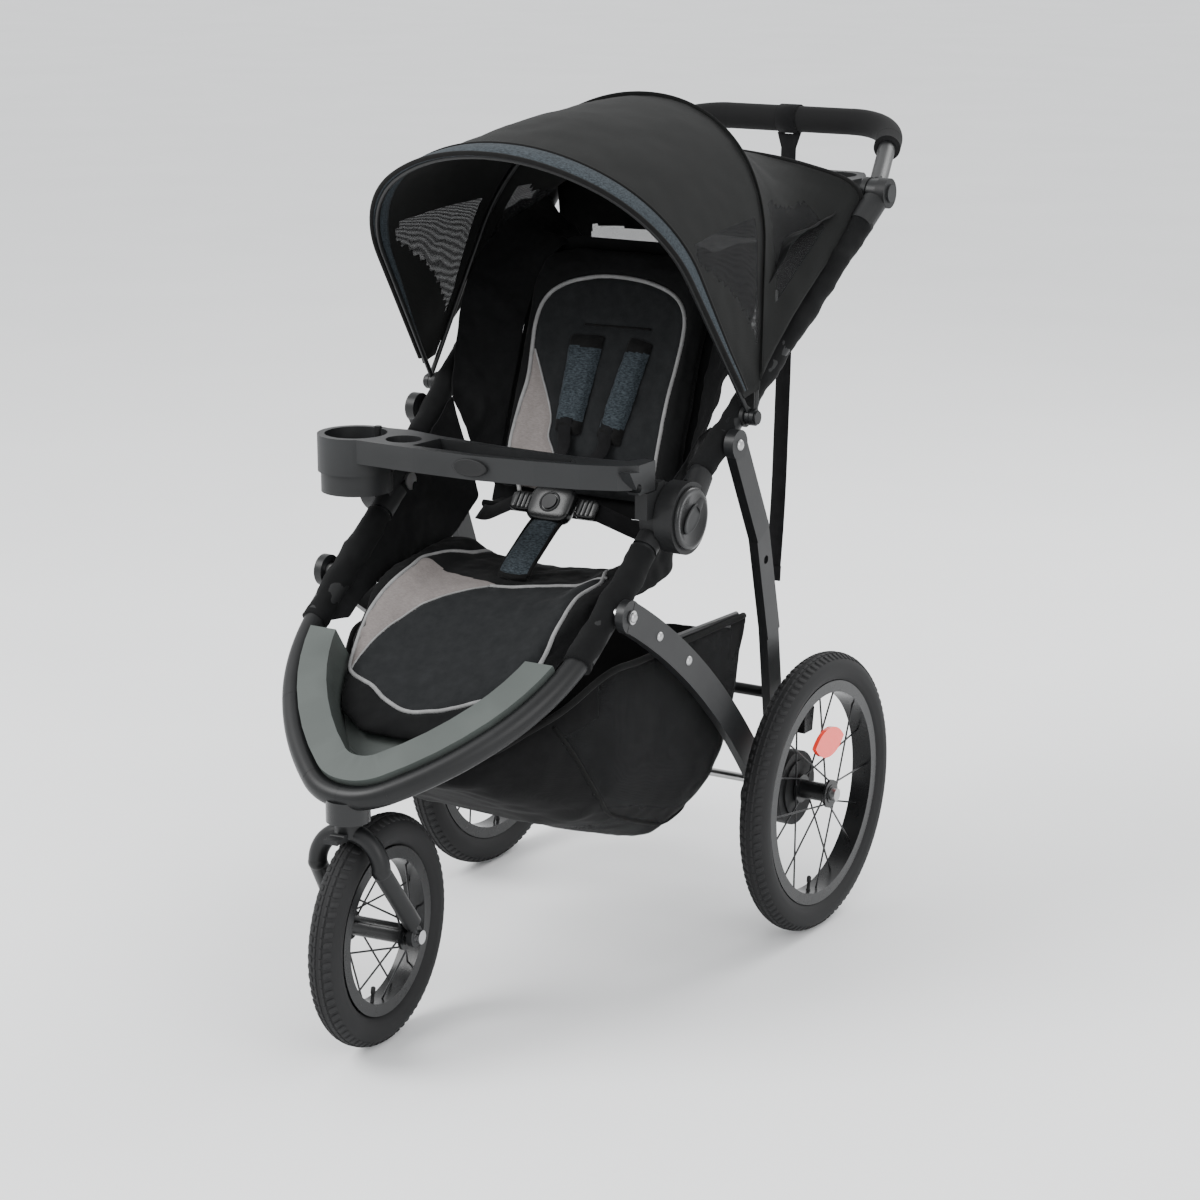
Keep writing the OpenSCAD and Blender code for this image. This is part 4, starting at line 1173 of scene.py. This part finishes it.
drop = ruled("canopy_rear_drop", [P(-244, 143, 1010), P(-180, 141, 1046), P(-90, 139, 1060), P(0, 138, 1066),
                                  P(90, 139, 1060), P(180, 141, 1046), P(244, 143, 1010)],
             [P(-205, 96, 890), P(-140, 92, 886), P(-60, 90, 884), P(0, 90, 884), P(60, 90, 884), P(140, 92, 886),
              P(205, 96, 890)], ["canopy", "mesh_light"], n=40, m=12, ruffle=0.003, seed=3)
zone(drop, lambda c, n: 1 if 0.905 < c.z < 0.955 and abs(c.x) < 0.165 else 0)
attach(drop, "upper_frame")

# ---------------------------------------------------------------- hubs, rivets, blank ovals


def oval(name, centre, ax, ay, az, rx, ry, h, material, body):
    rows = []
    for hh, k in ((0, 1.0), (0.6, 1.0), (0.95, 0.95), (1.0, 0.88), (0.86, 0.82), (0.84, 0.5), (0.84, 0.03)):
        rows.append([centre + ax * (rx * k * math.cos(2 * math.pi * j / 48))
                     + ay * (ry * k * math.sin(2 * math.pi * j / 48)) + az * (h * hh) for j in range(48)])
    v, f = grid(rows, close_cols=True, caps=True)
    return piece(name, v, f, material, body)


Y, Z = Vector((0, 1, 0)), Vector((0, 0, 1))
tilt = math.radians(37)
along_tube = Vector((0, math.cos(tilt), math.sin(tilt)))
across_tube = Vector((0, -math.sin(tilt), math.cos(tilt)))
for s in (-1, 1):
    tag = side_name(s)
    revolve(f"hub_disc_{tag}", [(0, 0.041), (0.0022, 0.0405), (0.0034, 0.038), (0.0034, 0.0335), (0.0018, 0.032),
                                (0.0018, 0.001)],
            P(s * 248, -314, 650), (s, 0, 0), "gloss", "upper_frame", 64)
    oval(f"hub_oval_{tag}", P(s * 249.6, -314, 650), along_tube, across_tube, Vector((s, 0, 0)), 0.024, 0.0135, 0.0024,
         "plastic2", "upper_frame")
    for k, (y, z) in enumerate(((-450, 548.3), (-379, 507), (-304, 457))):
        revolve(f"stay_rivet_{tag}_{k}", [(0, 0.0065), (0.0012, 0.0062), (0.0026, 0.0045), (0.0032, 0.002),
                                          (0.0033, 0.0)], P(s * (244.6 if k == 0 else 241), y, z), (s, 0, 0), "steel",
                "front_frame" if k == 0 else "side_stays", 24)
    revolve(f"leg_rivet_{tag}", [(0, 0.0075), (0.0014, 0.0072), (0.003, 0.005), (0.0036, 0.002), (0.0037, 0)],
            P(s * 260.8, -208, 729.3), (s, 0, 0), "steel", "rear_legs", 24)
oval("tray_oval", P(0, -452.3, 714), X, Z, -Y, 0.026, 0.0115, 0.0022, "plastic", "child_tray")

# Footrest ribs
SLOPE = math.radians(34)


def on_loop(x, s, n):
    """Point of the front loop's plane: s up the slope from its middle, n above it."""
    return P(x, -502 + s * math.cos(SLOPE) - n * math.sin(SLOPE), 510 + s * math.sin(SLOPE) + n * math.cos(SLOPE))


for k, (st, half) in enumerate(((-222, 52), (-213, 64), (-204, 74), (-195, 82))):
    pts = [on_loop(half * u, st + 20 * u * u, -34 - 5 * k) for u in [i / 10 for i in range(-10, 11)]]
    sweep(f"footrest_rib_{k}", pts, circle(0.0032, 10), "foot", "front_frame")

# ---------------------------------------------------------------- straps
ROUTE = [(0, 405, 1070), (0, 404, 1030), (0, 404, 990), (0, 404, 950), (0, 403, 910), (0, 402, 870), (0, 401, 830),
         (0, 400, 790), (0, 400, 750), (0, 399, 710), (0, 397, 670), (0, 395, 630), (0, 393, 590), (0, 391, 550),
         (0, 388, 510), (0, 384, 470), (0, 379, 430), (0, 374, 390)]
route = [P(*p) for p in ROUTE]
strap = sweep("wrist_strap_web", route, flat(0.025, 0.0018), "webbing", "handlebar",
              up=Vector((0, -1, 0)))
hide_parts("wrist_strap")
strap_hem = sweep("wrist_strap_hem", [P(0, 376.5, 412), P(0, 374.5, 389)], flat(0.0252, 0.0046), "webbing", "handlebar",
                  up=Vector((0, -1, 0)))
revolve("wrist_strap_wrap", [(-0.016, 0.0196), (-0.0155, 0.0216), (0.0155, 0.0216), (0.016, 0.0196)],
        P(0, 410, 1092), (1, 0, 0), "webbing", "handlebar", 40, closed=True)
for k, dx in enumerate((-14, 14)):
    sweep(f"wrist_strap_split_{k}", resample([P(dx, 406, 1073), P(dx * 0.6, 405, 1056), P(dx * 0.12, 404.6, 1036)],
                                             0.004), flat(0.012, 0.0022), "webbing", "handlebar",
          up=Vector((0, -1, 0)))
loop = [B(89, 24, -33), B(85, -10, -35), B(86, -44, -37), B(91, -62, -38), B(96, -66, -38), B(101, -62, -38),
        B(106, -44, -37), B(107, -10, -35), B(103, 24, -33)]
puller = sweep("recline_loop", resample(loop, 0.004), flat(0.007, 0.0022), "pull", "seat_back",
               up=B(0, 0, -1) - B(0, 0, 0))
slab("recline_lock", B(96, 31, -33), X, (B(0, 1, 0) - B(0, 0, 0)).normalized(),
     (B(0, 0, 1) - B(0, 0, 0)).normalized(), 0.013, 0.013, 0.006, "plastic", "seat_back")
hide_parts("recline_puller")

# ---------------------------------------------------------------- soft pieces get mesh data of their own
for o in (back, left_pad, right_pad):
    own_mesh(o)
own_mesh(cushion)
for o in basket_soft:
    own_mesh(o)
